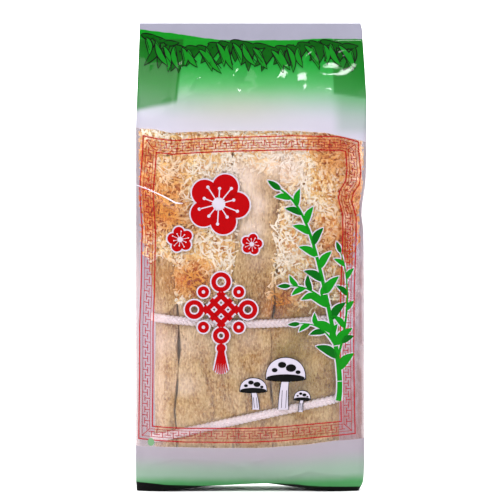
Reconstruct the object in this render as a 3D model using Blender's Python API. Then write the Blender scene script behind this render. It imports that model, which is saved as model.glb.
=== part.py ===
"""A standing film pack of dried bamboo fungus, at its real size, in metres, +Z up.

The pack's front faces -Y and the origin is the middle of its base. A clear film pack with side
gussets holds twelve dried fungi in three layers of four. Each fungus is a flattened, pitted stem
with a net skirt round its upper part. Two braided cords are tied round the bundle and knotted at
the back. Nothing moves.
"""

import math

import bmesh
import bpy
import numpy as np

# Film pack
PACK_HEIGHT = 0.300
PACK_HALF_WIDTH = 0.074
PACK_HALF_DEPTH = 0.024
FILM_WALL = 0.0007
SEAL_LOW = 0.291
SEAL_HALF_THICKNESS = 0.0008
SHOULDER = 0.222
BASE_ROUND = 0.022
BASE_HALF_DEPTH = 0.0195
BASE_NARROWING = 0.0012
TOP_NARROWING = 0.0025
CREASE_SHARE = 0.604
CORNER_POWER = 5
PANEL_STEPS = 10
FAN_STEPS = 2
MITRE_LIMIT = 0.35
BASE_LEVELS, BELLY_LEVELS, SHOULDER_LEVELS = 5, 8, 8
BELLY_FOLD = 0.0015
LOWER_FOLD = 0.0035
SHOULDER_FOLD = 0.016
LOWER_FOLD_MIDDLE = 0.070
LOWER_FOLD_REACH = 0.045
BASE_ARCH = 0.0035
ARCH_END = 0.043
ARCH_FULL = 0.026
ARCH_FADE = 0.018
VENT_RADIUS, VENT_SIDES = 0.0025, 10
VENT_PLACE = (0.040, 0.250)

# Bundle of fungi
BUNDLE_HALF_DEPTH = 0.0186
PUFF = 0.0024
PUFF_REACH = 0.022
BUNDLE_LEFT, BUNDLE_RIGHT = -0.0620, 0.0570
SPREAD_HALF_WIDTH = 0.0700
SPREAD_LOW, SPREAD_HIGH = 0.104, 0.205
BUNDLE_CORNER = 0.012
ROW_EDGE = 0.0062
CELL_GAP = 0.00035
FILM_GAP = 0.0013
GAP_WAVE = 0.0011
GAP_WAVE_LENGTH = 0.105
COLUMN_EDGES = {
    "front": (-0.0620, -0.0470, -0.0110, 0.0135, 0.0570),
    "middle": (-0.0620, -0.0320, -0.0020, 0.0270, 0.0570),
    "back": (-0.0620, -0.0350, -0.0040, 0.0260, 0.0570),
}
ROW_PLACES = {"front": 0, "middle": 1, "back": 2}
FUNGUS_BOTTOM, FUNGUS_TOP = 0.0095, 0.236
FOOT_SPREAD, CROWN_SPREAD = 0.006, 0.011
HEM_HEIGHTS = {
    "front": (0.146, 0.124, 0.198, 0.120),
    "middle": (0.130, 0.138, 0.126, 0.140),
    "back": (0.128, 0.140, 0.134, 0.122),
}
SECTION_POWER = 4
SKIRT_NET_DEPTH = 0.0023
SKIRT_FOLDS, SKIRT_FOLD_DEPTH, SKIRT_FOLD_TWIST = 5, 0.0011, 60
STEM_PIT_DEPTH = 0.0011
STEM_GROOVES, STEM_GROOVE_DEPTH, STEM_GROOVE_TWIST = 7, 0.0017, 38
HEM_STEP, HEM_STEP_REACH = 0.0022, 0.018
HEM_LOBES, HEM_LOBE, HEM_SOFTNESS = 3, 0.0050, 0.004
END_REACH, END_SIZE, END_DISH = 0.010, 0.74, 0.003
FRONT_STEPS, HIDDEN_STEPS = (8, 3, 30), (6, 2, 19)

# Cord ties
CORD_RADIUS = 0.0026
CORD_OUT = 0.0008
GROOVE_DEPTH = 0.0033
GROOVE_REACH = 0.0065
CORD_STEPS = 52
KNOT_TUCK = 0.0022
KNOT_REACH = 0.009
KNOT_RING_RADIUS = 0.0026
KNOT_RING_CORD = 0.0020
KNOT_RING_STEPS = (12, 8)
POCKET_DEPTH = 0.0074
POCKET_REACH = 0.0145
TAIL_LENGTH = 0.014
TAIL_RADIUS = 0.0019
TAIL_SPLAY = math.radians(38)
UPPER_TIE_HEIGHT, UPPER_TIE_SAG = 0.1068, 0.0040
LOWER_TIE_HEIGHT, LOWER_TIE_SLOPE = 0.0466, 0.218
KNOT_PLACES = {"upper_tie": 0.011, "lower_tie": -0.019}

STEM_COLOUR = (0.74, 0.56, 0.30, 1.0)
CORD_COLOUR = (0.88, 0.86, 0.88, 1.0)
FILM_COLOUR = (0.80, 0.86, 0.80, 0.35)


def ease(share):
    """0 to 1 with a level start and end."""
    share = np.clip(share, 0, 1)
    return share * share * (3 - 2 * share)


def clear_scene():
    for thing in list(bpy.data.objects):
        bpy.data.objects.remove(thing)


def new_collection(name):
    made = bpy.data.collections.new(name)
    bpy.context.scene.collection.children.link(made)
    return made


def material(name, colour, roughness):
    made = bpy.data.materials.new(name)
    made.use_nodes = True
    shader = made.node_tree.nodes["Principled BSDF"]
    shader.inputs["Base Color"].default_value = colour
    shader.inputs["Roughness"].default_value = roughness
    shader.inputs["Metallic"].default_value = 0.0
    return made


def mesh_object(name, points, faces, collection, finish=None):
    """A new object from points and faces, shaded smooth, with its normals made to point out."""
    mesh = bpy.data.meshes.new(name)
    mesh.from_pydata([tuple(p) for p in points], [], [tuple(f) for f in faces])
    shape = bmesh.new()
    shape.from_mesh(mesh)
    bmesh.ops.recalc_face_normals(shape, faces=shape.faces)
    shape.to_mesh(mesh)
    shape.free()
    mesh.shade_smooth()
    mesh.set_sharp_from_angle(angle=math.radians(40))
    made = bpy.data.objects.new(name, mesh)
    collection.objects.link(made)
    if finish:
        mesh.materials.append(finish)
    return made


def hide_helper(helper):
    helper.hide_render = True
    helper.display_type = "WIRE"


def new_primitive(name, collection):
    """The primitive just added, named and moved into its own collection."""
    made = bpy.context.object
    made.name = name
    for other in list(made.users_collection):
        other.objects.unlink(made)
    collection.objects.link(made)
    return made


# The pack's outside: every level is one section, and the sections follow these formulas.


def top_share(height):
    """1 below the shoulder, falling to 0 at the weld."""
    return np.clip((SEAL_LOW - height) / (SEAL_LOW - SHOULDER), 0, 1)


def pack_half_width(height):
    base = BASE_NARROWING * (1 - np.clip(height / BASE_ROUND, 0, 1)) ** 2
    return PACK_HALF_WIDTH - TOP_NARROWING * (1 - top_share(height)) - base


def pack_half_depth(height):
    """Depth at the middle of a panel: a quarter sine down to the weld and another down to the base."""
    body = PACK_HALF_DEPTH * np.sin(math.pi / 2 * top_share(height))
    rounding = np.sin(math.pi / 2 * np.clip(height / BASE_ROUND, 0, 1))
    body = body - (PACK_HALF_DEPTH - BASE_HALF_DEPTH) * (1 - rounding)
    return np.maximum(body, SEAL_HALF_THICKNESS)


def crease_half_depth(height):
    """Depth at the crease between a panel and a gusset, which nears the panel's at the weld."""
    share = top_share(height)
    return pack_half_depth(height) * (CREASE_SHARE + (1 - CREASE_SHARE) * (1 - share))


def fold_depth(height):
    """How far a gusset's middle line is folded in."""
    share = top_share(height)
    lower = LOWER_FOLD * (1 - ease(abs(height - LOWER_FOLD_MIDDLE) / LOWER_FOLD_REACH))
    return BELLY_FOLD * share + SHOULDER_FOLD * 4 * share * (1 - share) + lower


def pack_section(height):
    """One level of the pack's outside as (x, y) points, anticlockwise from the front left crease."""
    across = np.sin(np.linspace(-1, 1, PANEL_STEPS + 1) * math.pi / 2)
    width, crease = pack_half_width(height), crease_half_depth(height)
    swell = (pack_half_depth(height) - crease) * np.sqrt(1 - np.abs(across) ** CORNER_POWER)
    panel = np.column_stack([width * across, -crease - swell])
    fold = [[width - fold_depth(height), 0.0]]
    return np.vstack([panel, fold, panel * [1, -1] @ np.diag([-1, 1]), [[-fold[0][0], 0.0]]])


def inset(section, wall):
    """The section moved in by the wall's thickness, with mitred corners."""
    run = np.roll(section, -1, axis=0) - section
    run /= np.linalg.norm(run, axis=1)[:, None]
    normal = np.column_stack([-run[:, 1], run[:, 0]])
    before = np.roll(normal, 1, axis=0)
    spread = 1 + (normal * before).sum(1)
    return section + wall * (normal + before) / np.maximum(spread, MITRE_LIMIT)[:, None]


def base_arch(x, height):
    """The base's middle stands clear of the table, and the pack rests on both ends."""
    lens = ease((ARCH_END - np.abs(x)) / (ARCH_END - ARCH_FULL))
    return BASE_ARCH * lens * np.clip(1 - height / ARCH_FADE, 0, 1) ** 2


def end_faces(start):
    """The faces of a loft's end: a fan at each gusset fold and strips between facing points."""
    steps = PANEL_STEPS
    right, left = start + steps + 1, start + 2 * steps + 3
    front = [start + k for k in range(steps + 1)]
    back = [left - 1 - k for k in range(steps + 1)]
    fans = ((left, range(FAN_STEPS + 1)), (right, range(steps, steps - FAN_STEPS - 1, -1)))
    faces = []
    for fold, near in fans:
        for a, b in zip(near, near[1:]):
            faces.append((fold, front[a], front[b]))
            faces.append((fold, back[b], back[a]))
        faces.append((fold, front[near[-1]], back[near[-1]]))
    for k in range(FAN_STEPS, steps - FAN_STEPS):
        faces.append((front[k], front[k + 1], back[k + 1], back[k]))
    return faces


def stacked(sections, heights):
    """Points and faces of a closed loft through the sections."""
    count = len(sections[0])
    points = []
    for section, height in zip(sections, heights):
        lift = base_arch(section[:, 0], height)
        points += [(x, y, height + z) for (x, y), z in zip(section, lift)]
    faces = []
    for level in range(len(heights) - 1):
        low, high = level * count, (level + 1) * count
        for i in range(count):
            j = (i + 1) % count
            faces.append((low + i, low + j, high + j, high + i))
    return points, faces + end_faces(0) + end_faces((len(heights) - 1) * count)


def make_film_pack(collection, cutters):
    """The film as a thin shell: the outside, less the space inside, less a small air vent behind."""
    base = np.linspace(0, BASE_ROUND, BASE_LEVELS)
    belly = np.linspace(BASE_ROUND, SHOULDER, BELLY_LEVELS)
    shoulder = np.linspace(SHOULDER, SEAL_LOW, SHOULDER_LEVELS)
    levels = np.concatenate([base, belly[1:], shoulder[1:], [PACK_HEIGHT]])
    outside = stacked([pack_section(z) for z in levels], levels)
    pack = mesh_object(
        "film_pack", *outside, collection, material("printed_film", FILM_COLOUR, 0.18)
    )
    levels = np.concatenate([[2 * FILM_WALL], base[1:], belly[1:], shoulder[1:-1]])
    inside = [inset(pack_section(z), FILM_WALL) for z in levels]
    cavity = mesh_object("pack_space", *stacked(inside, levels), cutters)
    bpy.ops.mesh.primitive_cylinder_add(
        vertices=VENT_SIDES,
        radius=VENT_RADIUS,
        depth=PACK_HALF_DEPTH,
        location=(VENT_PLACE[0], PACK_HALF_DEPTH, VENT_PLACE[1]),
        rotation=(math.pi / 2, 0, 0),
    )
    vent = new_primitive("air_vent", cutters)
    for cutter in (cavity, vent):
        hide_helper(cutter)
        cut = pack.modifiers.new(cutter.name, "BOOLEAN")
        cut.operation = "DIFFERENCE"
        cut.object = cutter
    return pack


# The bundle: the outline that holds it, and the grooves that the cords press into it.


def spread(height):
    return ease((height - SPREAD_LOW) / (SPREAD_HIGH - SPREAD_LOW))


def spread_x(x, height):
    """A place across the tied bundle, moved out as the bundle opens above its upper tie."""
    share = (x - BUNDLE_LEFT) / (BUNDLE_RIGHT - BUNDLE_LEFT)
    return x + spread(height) * (SPREAD_HALF_WIDTH * (2 * share - 1) - x)


def bundle_sides(height):
    """Middle and half width of the bundle."""
    left, right = spread_x(BUNDLE_LEFT, height), spread_x(BUNDLE_RIGHT, height)
    return (left + right) / 2, (right - left) / 2


def tie_height(name, x):
    """The upper tie sags a little between its ends, and the lower one climbs to the right."""
    middle, half = bundle_sides(0)
    across = (x - middle) / half
    if name == "upper_tie":
        return UPPER_TIE_HEIGHT + UPPER_TIE_SAG * across**2
    return LOWER_TIE_HEIGHT + LOWER_TIE_SLOPE * (x - middle)


def bundle_depth(x, height):
    """Half depth of the bundle, which puffs out away from its ties."""
    away = [np.abs(height - tie_height(name, x)) for name in KNOT_PLACES]
    return BUNDLE_HALF_DEPTH + PUFF * ease(np.minimum(*away) / PUFF_REACH)


def groove(x, height):
    """How far the cords press into the bundle here: a V as wide as one step of the stems' rings."""
    found = 0.0
    for name in KNOT_PLACES:
        share = 1 - np.abs(height - tie_height(name, x)) / GROOVE_REACH
        found = np.maximum(found, GROOVE_DEPTH * np.clip(share, 0, 1))
    return found


def knot_pocket(x, height):
    """The hollow that a knot and its two tails make in the back layer."""
    found = 0.0
    for name, place in KNOT_PLACES.items():
        low = tie_height(name, place) - TAIL_LENGTH / 2
        away = np.hypot(x - place, (height - low) * 0.7) / POCKET_REACH
        found = np.maximum(found, POCKET_DEPTH * (1 - ease(away - 0.35)))
    return found


def arc_limit(across, half, other_half, press):
    """Half size of a rounded rectangle on one side, at a place across the other."""
    past = np.clip(np.abs(across) - (half - BUNDLE_CORNER), 0, BUNDLE_CORNER)
    return other_half - BUNDLE_CORNER + np.sqrt(BUNDLE_CORNER**2 - past**2) - press


def front_limit(x, height):
    """The furthest that a fungus reaches forward or back here: the bundle's outline or the film."""
    middle, half = bundle_sides(height)
    bundle = arc_limit(x - middle, half, bundle_depth(x, height), groove(x, height))
    film = np.empty_like(x)
    for i, (place, level) in enumerate(zip(x, height)):
        panel = pack_section(level)[: PANEL_STEPS + 1]
        film[i] = np.interp(place, panel[:, 0], -panel[:, 1]) - FILM_WALL - FILM_GAP
    return np.minimum(bundle, film)


def side_limit(x, y, height):
    """The furthest that a fungus reaches to the side here, measured from the bundle's middle."""
    _, half = bundle_sides(height)
    bundle = arc_limit(y, bundle_depth(x, height), half, groove(x, height))
    crease = crease_half_depth(height)
    fold = fold_depth(height) * np.clip(1 - np.abs(y) / crease, 0, 1)
    film = pack_half_width(height) - fold - FILM_WALL - FILM_GAP
    return np.minimum(bundle, film)


# The fungi: each fills a cell of the bundle, with its stem's pits and its skirt's net as relief.


def cell_walk(long_steps, short_steps):
    """Points round a square from -1 to 1, evenly spaced on its long and on its short sides."""
    long_run = np.linspace(-1, 1, long_steps, endpoint=False)
    short_run = np.linspace(-1, 1, short_steps, endpoint=False)
    along = np.concatenate([long_run, np.ones(short_steps), -long_run, -np.ones(short_steps)])
    across = np.concatenate([-np.ones(long_steps), short_run, np.ones(long_steps), -short_run])
    return along, across


def phase_of(row, column):
    """A number of its own for each fungus, so that no two are alike."""
    return 1.7 * column + 2.3 * ROW_PLACES[row]


def fungus_ends(row, column):
    """Heights of a fungus's foot and crown, which differ a little from one to the next."""
    turn = phase_of(row, column)
    foot = FUNGUS_BOTTOM + FOOT_SPREAD * (0.5 + 0.5 * math.sin(2.3 * turn))
    crown = FUNGUS_TOP - CROWN_SPREAD * (0.5 + 0.5 * math.sin(1.9 * turn + 1))
    return foot, crown


def fungus_levels(foot, crown, axis_x, long_rings):
    """Heights of a fungus's rings. A ring lies in the groove of each tie, with one on each side."""
    lower, upper = tie_height("lower_tie", axis_x), tie_height("upper_tie", axis_x)
    stops = [foot, lower - GROOVE_REACH, lower, lower + GROOVE_REACH]
    stops += [upper - GROOVE_REACH, upper, upper + GROOVE_REACH, crown]
    pitch = (crown - foot) / long_rings
    levels = [foot]
    for low, high in zip(stops, stops[1:]):
        steps = max(1, round((high - low) / pitch))
        levels += list(np.linspace(low, high, steps + 1)[1:])
    return np.array(levels)


def cell_edges(row, column, height):
    """Left, right, front and back of a fungus's cell. Neighbours share these wavy edges."""
    wave = 2 * math.pi * height / GAP_WAVE_LENGTH
    sides = []
    for edge in (column, column + 1):
        inner = 0 < edge < len(COLUMN_EDGES[row]) - 1
        shift = GAP_WAVE * np.sin(wave + 2.1 * edge + ROW_PLACES[row]) if inner else 0.0
        sides.append(spread_x(COLUMN_EDGES[row][edge], height) + shift)
    depth = bundle_depth((sides[0] + sides[1]) / 2, height)
    lines = (-depth, -ROW_EDGE, ROW_EDGE, depth)
    place = ROW_PLACES[row]
    front, back = lines[place], lines[place + 1]
    return sides[0] + CELL_GAP, sides[1] - CELL_GAP, front + CELL_GAP, back - CELL_GAP


def relief(row, column, turn, height, raised):
    """How far the surface lies inside the cell: the net of the skirt above the hem, the stem below."""
    phase = phase_of(row, column)
    hem = HEM_HEIGHTS[row][column] + HEM_LOBE * np.sin(HEM_LOBES * turn + phase)
    skirt = ease((height - hem) / HEM_SOFTNESS)
    groove_turn = STEM_GROOVES * turn + STEM_GROOVE_TWIST * height + phase
    grooves = STEM_GROOVE_DEPTH * (0.5 + 0.5 * np.cos(groove_turn))
    under_hem = HEM_STEP * np.exp(-np.abs(height - hem) / HEM_STEP_REACH)
    stem = grooves + under_hem + np.where(raised, 0, STEM_PIT_DEPTH)
    fold_turn = SKIRT_FOLDS * turn + SKIRT_FOLD_TWIST * height + phase
    folds = SKIRT_FOLD_DEPTH * (0.5 + 0.5 * np.sin(fold_turn))
    net = folds + np.where(raised, 0, SKIRT_NET_DEPTH)
    return stem + skirt * (net - stem)


def end_shrink(height, foot, crown):
    """1 along the fungus, less towards its cut foot and its rounded crown."""
    reach = np.minimum(height - foot, crown - height) / END_REACH
    return END_SIZE + (1 - END_SIZE) * np.sqrt(1 - (1 - np.clip(reach, 0, 1)) ** 2)


def fungus_rings(row, column, long_steps, short_steps, long_rings):
    """One ring of points for each level. Odd points lie lower, which leaves a diamond net raised."""
    along, across = cell_walk(long_steps, short_steps)
    round_off = (np.abs(along) ** SECTION_POWER + np.abs(across) ** SECTION_POWER) ** (-1 / SECTION_POWER)
    along, across = along * round_off, across * round_off
    turn = np.arctan2(across, along)
    edges = COLUMN_EDGES[row]
    axis_x = (edges[column] + edges[column + 1]) / 2
    foot, crown = fungus_ends(row, column)
    rings = []
    for level, height in enumerate(fungus_levels(foot, crown, axis_x, long_rings)):
        heights = np.full(len(along), height)
        left, right, front, back = cell_edges(row, column, height)
        half_x, half_y = (right - left) / 2, (back - front) / 2
        raised = (np.arange(len(along)) + level) % 2 == 0
        lowered = relief(row, column, turn, heights, raised)
        lean = np.column_stack([along**3 / half_x, across**3 / half_y])
        lean /= np.linalg.norm(lean, axis=1)[:, None]
        shrink = end_shrink(height, foot, crown)
        x = (left + right) / 2 + along * half_x * shrink - lean[:, 0] * lowered
        y = (front + back) / 2 + across * half_y * shrink - lean[:, 1] * lowered
        for name in KNOT_PLACES:
            away = np.abs(height - tie_height(name, axis_x)) / (3 * GROOVE_REACH)
            heights = heights + (tie_height(name, x) - tie_height(name, axis_x)) * ease(1 - away)
        rings.append(held_in(row, x, y, heights))
    return rings


def held_in(row, x, y, height):
    """The points of one ring, pressed in where the cords, the film or a knot need the room."""
    reach = front_limit(x, height)
    if row == "front":
        y = np.maximum(y, -reach)
    if row == "back":
        pocket = knot_pocket(x, height)
        free = bundle_depth(x, height) - BUNDLE_HALF_DEPTH
        room = BUNDLE_HALF_DEPTH + free * (1 - pocket / POCKET_DEPTH) - pocket
        y = np.minimum(np.minimum(y, reach), room)
    middle, _ = bundle_sides(height)
    limit = side_limit(x, y, height)
    return np.column_stack([middle + np.clip(x - middle, -limit, limit), y, height])


def net_faces(count, levels):
    """Triangles between rings. Each square is split between its two raised corners."""
    faces = []
    for level in range(levels - 1):
        for i in range(count):
            j = (i + 1) % count
            a, b = level * count + i, level * count + j
            c, d = b + count, a + count
            if (i + level) % 2 == 0:
                faces += [(a, b, c), (a, c, d)]
            else:
                faces += [(a, b, d), (b, c, d)]
    return faces


def make_fungus(row, column, collection, finish):
    """A dried fungus: its stem's hollow foot and the cup at its top are dished ends."""
    steps = FRONT_STEPS if row == "front" else HIDDEN_STEPS
    rings = fungus_rings(row, column, *steps)
    count = len(rings[0])
    points = np.vstack(rings)
    faces = net_faces(count, len(rings))
    foot = rings[0].mean(0) + [0, 0, END_DISH]
    cup = rings[-1].mean(0) - [0, 0, END_DISH]
    last = len(points) - count
    for i in range(count):
        j = (i + 1) % count
        faces.append((j, i, len(points)))
        faces.append((last + i, last + j, len(points) + 1))
    points = np.vstack([points, foot, cup])
    return mesh_object(f"{row}_fungus_{column + 1}", points, faces, collection, finish)


# The ties


def rounded_rectangle(half_x, half_y, corner, steps):
    """Evenly spaced points round a rounded rectangle, anticlockwise from its front left."""
    flat_x, flat_y, bend = half_x - corner, half_y - corner, math.pi / 2 * corner
    half_round = 2 * flat_x + 2 * flat_y + 2 * bend
    for step in range(steps):
        run = 2 * half_round * step / steps
        mirror = -1 if run >= half_round else 1
        run %= half_round
        front, turn = min(run, 2 * flat_x), min(max(run - 2 * flat_x, 0), bend) / corner
        side = min(max(run - 2 * flat_x - bend, 0), 2 * flat_y)
        turn += max(run - 2 * flat_x - bend - 2 * flat_y, 0) / corner
        x = front - flat_x + corner * math.sin(turn)
        y = side - flat_y - corner * math.cos(turn)
        yield mirror * x, mirror * y


def tie_path(name):
    """A closed path round the bundle, tucked in behind where its knot lies."""
    middle, half = bundle_sides(0)
    sizes = [size + CORD_OUT for size in (half, BUNDLE_HALF_DEPTH, BUNDLE_CORNER)]
    path = []
    for x, y in rounded_rectangle(*sizes, CORD_STEPS):
        x += middle
        if y > 0:
            y -= KNOT_TUCK * math.exp(-(((x - KNOT_PLACES[name]) / KNOT_REACH) ** 2))
        path.append((x, y, tie_height(name, x)))
    return path


def tube(name, path, radius, closed, collection):
    """A round cord along a path, made a mesh so that it can be joined to another."""
    data = bpy.data.curves.new(name, "CURVE")
    data.dimensions = "3D"
    data.bevel_depth = radius
    data.bevel_resolution = 2
    data.use_fill_caps = not closed
    line = data.splines.new("POLY")
    line.points.add(len(path) - 1)
    for point, place in zip(line.points, path):
        point.co = (*place, 1.0)
    line.use_cyclic_u = closed
    curve = bpy.data.objects.new(name, data)
    collection.objects.link(curve)
    bpy.context.view_layer.update()
    mesh = bpy.data.meshes.new_from_object(curve.evaluated_get(bpy.context.evaluated_depsgraph_get()))
    shape = bmesh.new()
    shape.from_mesh(mesh)
    bmesh.ops.remove_doubles(shape, verts=shape.verts, dist=0.00001)
    shape.to_mesh(mesh)
    shape.free()
    mesh.shade_smooth()
    bpy.data.objects.remove(curve)
    made = bpy.data.objects.new(name, mesh)
    collection.objects.link(made)
    return made


def make_tie(name, collection, finish):
    """A cord round the bundle, with a ring of cord as its knot and two cut tails below it."""
    tie = tube(name, tie_path(name), CORD_RADIUS, True, collection)
    tie.data.materials.append(finish)
    knot = new_collection(f"{name}_knot")
    place = KNOT_PLACES[name]
    centre = (place, BUNDLE_HALF_DEPTH + CORD_OUT - KNOT_TUCK, tie_height(name, place))
    bpy.ops.mesh.primitive_torus_add(
        major_segments=KNOT_RING_STEPS[0],
        minor_segments=KNOT_RING_STEPS[1],
        major_radius=KNOT_RING_RADIUS,
        minor_radius=KNOT_RING_CORD,
        location=centre,
        rotation=(0, math.pi / 2, 0),
    )
    new_primitive(f"{name}_ring", knot)
    for side in (-1, 1):
        end = (
            centre[0] + side * TAIL_LENGTH * math.sin(TAIL_SPLAY),
            centre[1],
            centre[2] - TAIL_LENGTH * math.cos(TAIL_SPLAY),
        )
        tube(f"{name}_tail", [centre, end], TAIL_RADIUS, False, knot)
    join = tie.modifiers.new("knot", "BOOLEAN")
    join.operation = "UNION"
    join.operand_type = "COLLECTION"
    join.collection = knot
    for piece in knot.objects:
        hide_helper(piece)
    return tie


def main():
    clear_scene()
    parts = new_collection("bamboo_fungus_pack")
    cutters = new_collection("cutters")
    make_film_pack(parts, cutters)
    fungus_finish = material("dried_fungus", STEM_COLOUR, 0.85)
    for row in ROW_PLACES:
        for column in range(len(COLUMN_EDGES[row]) - 1):
            make_fungus(row, column, parts, fungus_finish)
    cord_finish = material("braided_cord", CORD_COLOUR, 0.7)
    for name in KNOT_PLACES:
        make_tie(name, parts, cord_finish)


main()
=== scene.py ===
# %% [markdown]
# # A standing film pack of dried bamboo fungus
#
# The pack is a side-gusset pouch of printed clear film. Through its window stand dried bamboo
# fungi: pressed, pitted stems below and crumpled net skirts above, tied with two braided cords.
# Everything here is in metres in the row frame, with the pack's front facing -Y and its base on
# z = 0. The fixed frame comes first, and its box is kept so that the finished looks can be
# measured against it.

# %% Load the frame
import itertools
import math

import bpy
import numpy as np
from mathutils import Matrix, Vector


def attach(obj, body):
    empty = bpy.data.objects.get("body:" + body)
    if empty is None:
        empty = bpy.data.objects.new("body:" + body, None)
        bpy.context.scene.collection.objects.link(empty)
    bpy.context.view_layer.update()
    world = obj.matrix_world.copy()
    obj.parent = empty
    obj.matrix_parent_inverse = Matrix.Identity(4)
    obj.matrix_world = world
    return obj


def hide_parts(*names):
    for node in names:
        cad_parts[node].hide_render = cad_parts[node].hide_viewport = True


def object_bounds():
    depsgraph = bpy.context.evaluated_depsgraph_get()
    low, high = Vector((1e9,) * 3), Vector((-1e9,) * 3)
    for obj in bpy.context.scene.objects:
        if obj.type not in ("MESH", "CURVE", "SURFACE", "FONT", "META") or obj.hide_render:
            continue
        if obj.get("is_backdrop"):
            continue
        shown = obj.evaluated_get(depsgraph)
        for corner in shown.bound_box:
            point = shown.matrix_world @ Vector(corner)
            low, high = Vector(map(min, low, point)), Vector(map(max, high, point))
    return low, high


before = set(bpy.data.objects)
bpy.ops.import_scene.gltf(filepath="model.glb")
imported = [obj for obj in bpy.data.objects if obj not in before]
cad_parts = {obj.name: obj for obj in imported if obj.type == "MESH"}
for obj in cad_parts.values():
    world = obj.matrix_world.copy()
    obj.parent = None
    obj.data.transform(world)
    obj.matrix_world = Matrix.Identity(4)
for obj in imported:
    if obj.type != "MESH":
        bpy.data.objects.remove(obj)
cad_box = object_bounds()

MM = 0.001
print("frame:", sorted(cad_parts))

# %% [markdown]
# ## Noise and meshes
#
# Dried stems, crumpled lace and creased film are all irregular, so they share three kinds of
# noise. Soft noise blends random numbers on a lattice. Ridged noise folds it, which gives
# crumple lines. Scattered points, one to a cell, give pores. Each works on whole arrays of
# places, because a fine surface has tens of thousands of points.

# %% Noise and mesh helpers
def ease(share):
    """0 to 1 with a level start and end: 3 s^2 - 2 s^3."""
    share = np.clip(share, 0, 1)
    return share * share * (3 - 2 * share)


def lattice(cell, seed):
    """A number from 0 to 1 for each whole-number place (..., 2 or 3), by mixing its bits."""
    mixed = np.int64((seed * 0x9E3779B1) & 0xFFFFFFFF)
    for axis, prime in zip(range(cell.shape[-1]), (0x85EBCA6B, 0xC2B2AE35, 0x27D4EB2F)):
        mixed = (mixed ^ (cell[..., axis] * prime)) & 0xFFFFFFFF
        mixed = ((mixed ^ (mixed >> 15)) * 0x2C1B3C6D) & 0xFFFFFFFF
    return ((mixed ^ (mixed >> 13)) & 0xFFFFFF) / 0xFFFFFF


def soft_noise(place, seed=0):
    """Smooth noise from -1 to 1: the numbers of the lattice corners round each place, blended."""
    low = np.floor(place).astype(np.int64)
    share = ease(place - low)
    total = 0
    for corner in itertools.product((0, 1), repeat=place.shape[-1]):
        weight = np.prod(np.where(corner, share, 1 - share), axis=-1)
        total = total + weight * lattice(low + np.array(corner), seed)
    return 2 * total - 1


def drift(place, seed):
    """A shift in both directions, each from -1 to 1: two soft noises side by side."""
    return np.stack([soft_noise(place, seed), soft_noise(place, seed + 1)], axis=-1)


def ridges(place, seed=0):
    """Crumple lines: 1 on a line where soft noise crosses 0, falling to 0 away from it."""
    return 1 - np.abs(soft_noise(place, seed)) * 1.6


def pores(place, seed=0, scatter=0.9):
    """Distance from each place to the nearest scattered point, and that point's own number."""
    low = np.floor(place).astype(np.int64)
    nearest = np.full(place.shape[:-1], 9.0)
    owner = np.zeros(place.shape[:-1])
    for shift in itertools.product((-1, 0, 1), repeat=2):
        cell = low + np.array(shift)
        spot = np.stack([lattice(cell, seed), lattice(cell, seed + 1)], axis=-1)
        away = np.linalg.norm(place - cell - 0.5 - scatter * (spot - 0.5), axis=-1)
        owner = np.where(away < nearest, lattice(cell, seed + 2), owner)
        nearest = np.minimum(nearest, away)
    return nearest, owner

# %% [markdown]
# ## Grids and pieces
#
# Nearly every surface here is a grid of points in rows, closed round one way or neither. One
# helper makes the quads between them, and another makes a mesh of points and quads, keeps a few
# numbers at each point for the material to read, and lets the piece ride on the pack.

# %% Grid and piece helpers
def grid_faces(rows, columns, wrap_rows=False, wrap_columns=False):
    """Quads between the points of a grid whose rows follow each other in the list of points."""
    i = np.arange(rows if wrap_rows else rows - 1)[:, None]
    j = np.arange(columns if wrap_columns else columns - 1)[None, :]
    up, along = (i + 1) % rows, (j + 1) % columns
    corners = [i * columns + j, i * columns + along, up * columns + along, up * columns + j]
    return np.stack(np.broadcast_arrays(*corners), axis=-1).reshape(-1, 4)


def piece(name, points, faces, material, facts=None, smooth=True):
    """A mesh piece that rides on the pack. facts are numbers kept at each point for its material."""
    points = np.asarray(points, float).reshape(-1, 3)
    mesh = bpy.data.meshes.new(name)
    mesh.from_pydata(points.tolist(), [], [tuple(int(k) for k in face) for face in faces])
    for key, values in (facts or {}).items():
        kept = mesh.attributes.new(key, "FLOAT", "POINT")
        kept.data.foreach_set("value", np.asarray(values, np.float32).ravel())
    mesh.polygons.foreach_set("use_smooth", np.full(len(mesh.polygons), smooth))
    mesh.materials.append(material)
    mesh.update()
    made = bpy.data.objects.new(name, mesh)
    bpy.context.scene.collection.objects.link(made)
    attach(made, "root")
    return made


def triangles(made):
    """How many triangles a piece's faces make."""
    return sum(len(face.vertices) - 2 for face in made.data.polygons)


print("a grid of 3 by 4 points has", len(grid_faces(3, 4)), "quads")

# %% [markdown]
# ## Materials as sums
#
# A material is a plan of nodes. So that it reads as arithmetic, one small class wraps a socket
# and turns Python's operators into Math nodes, and one method adds every other kind of node.

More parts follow.
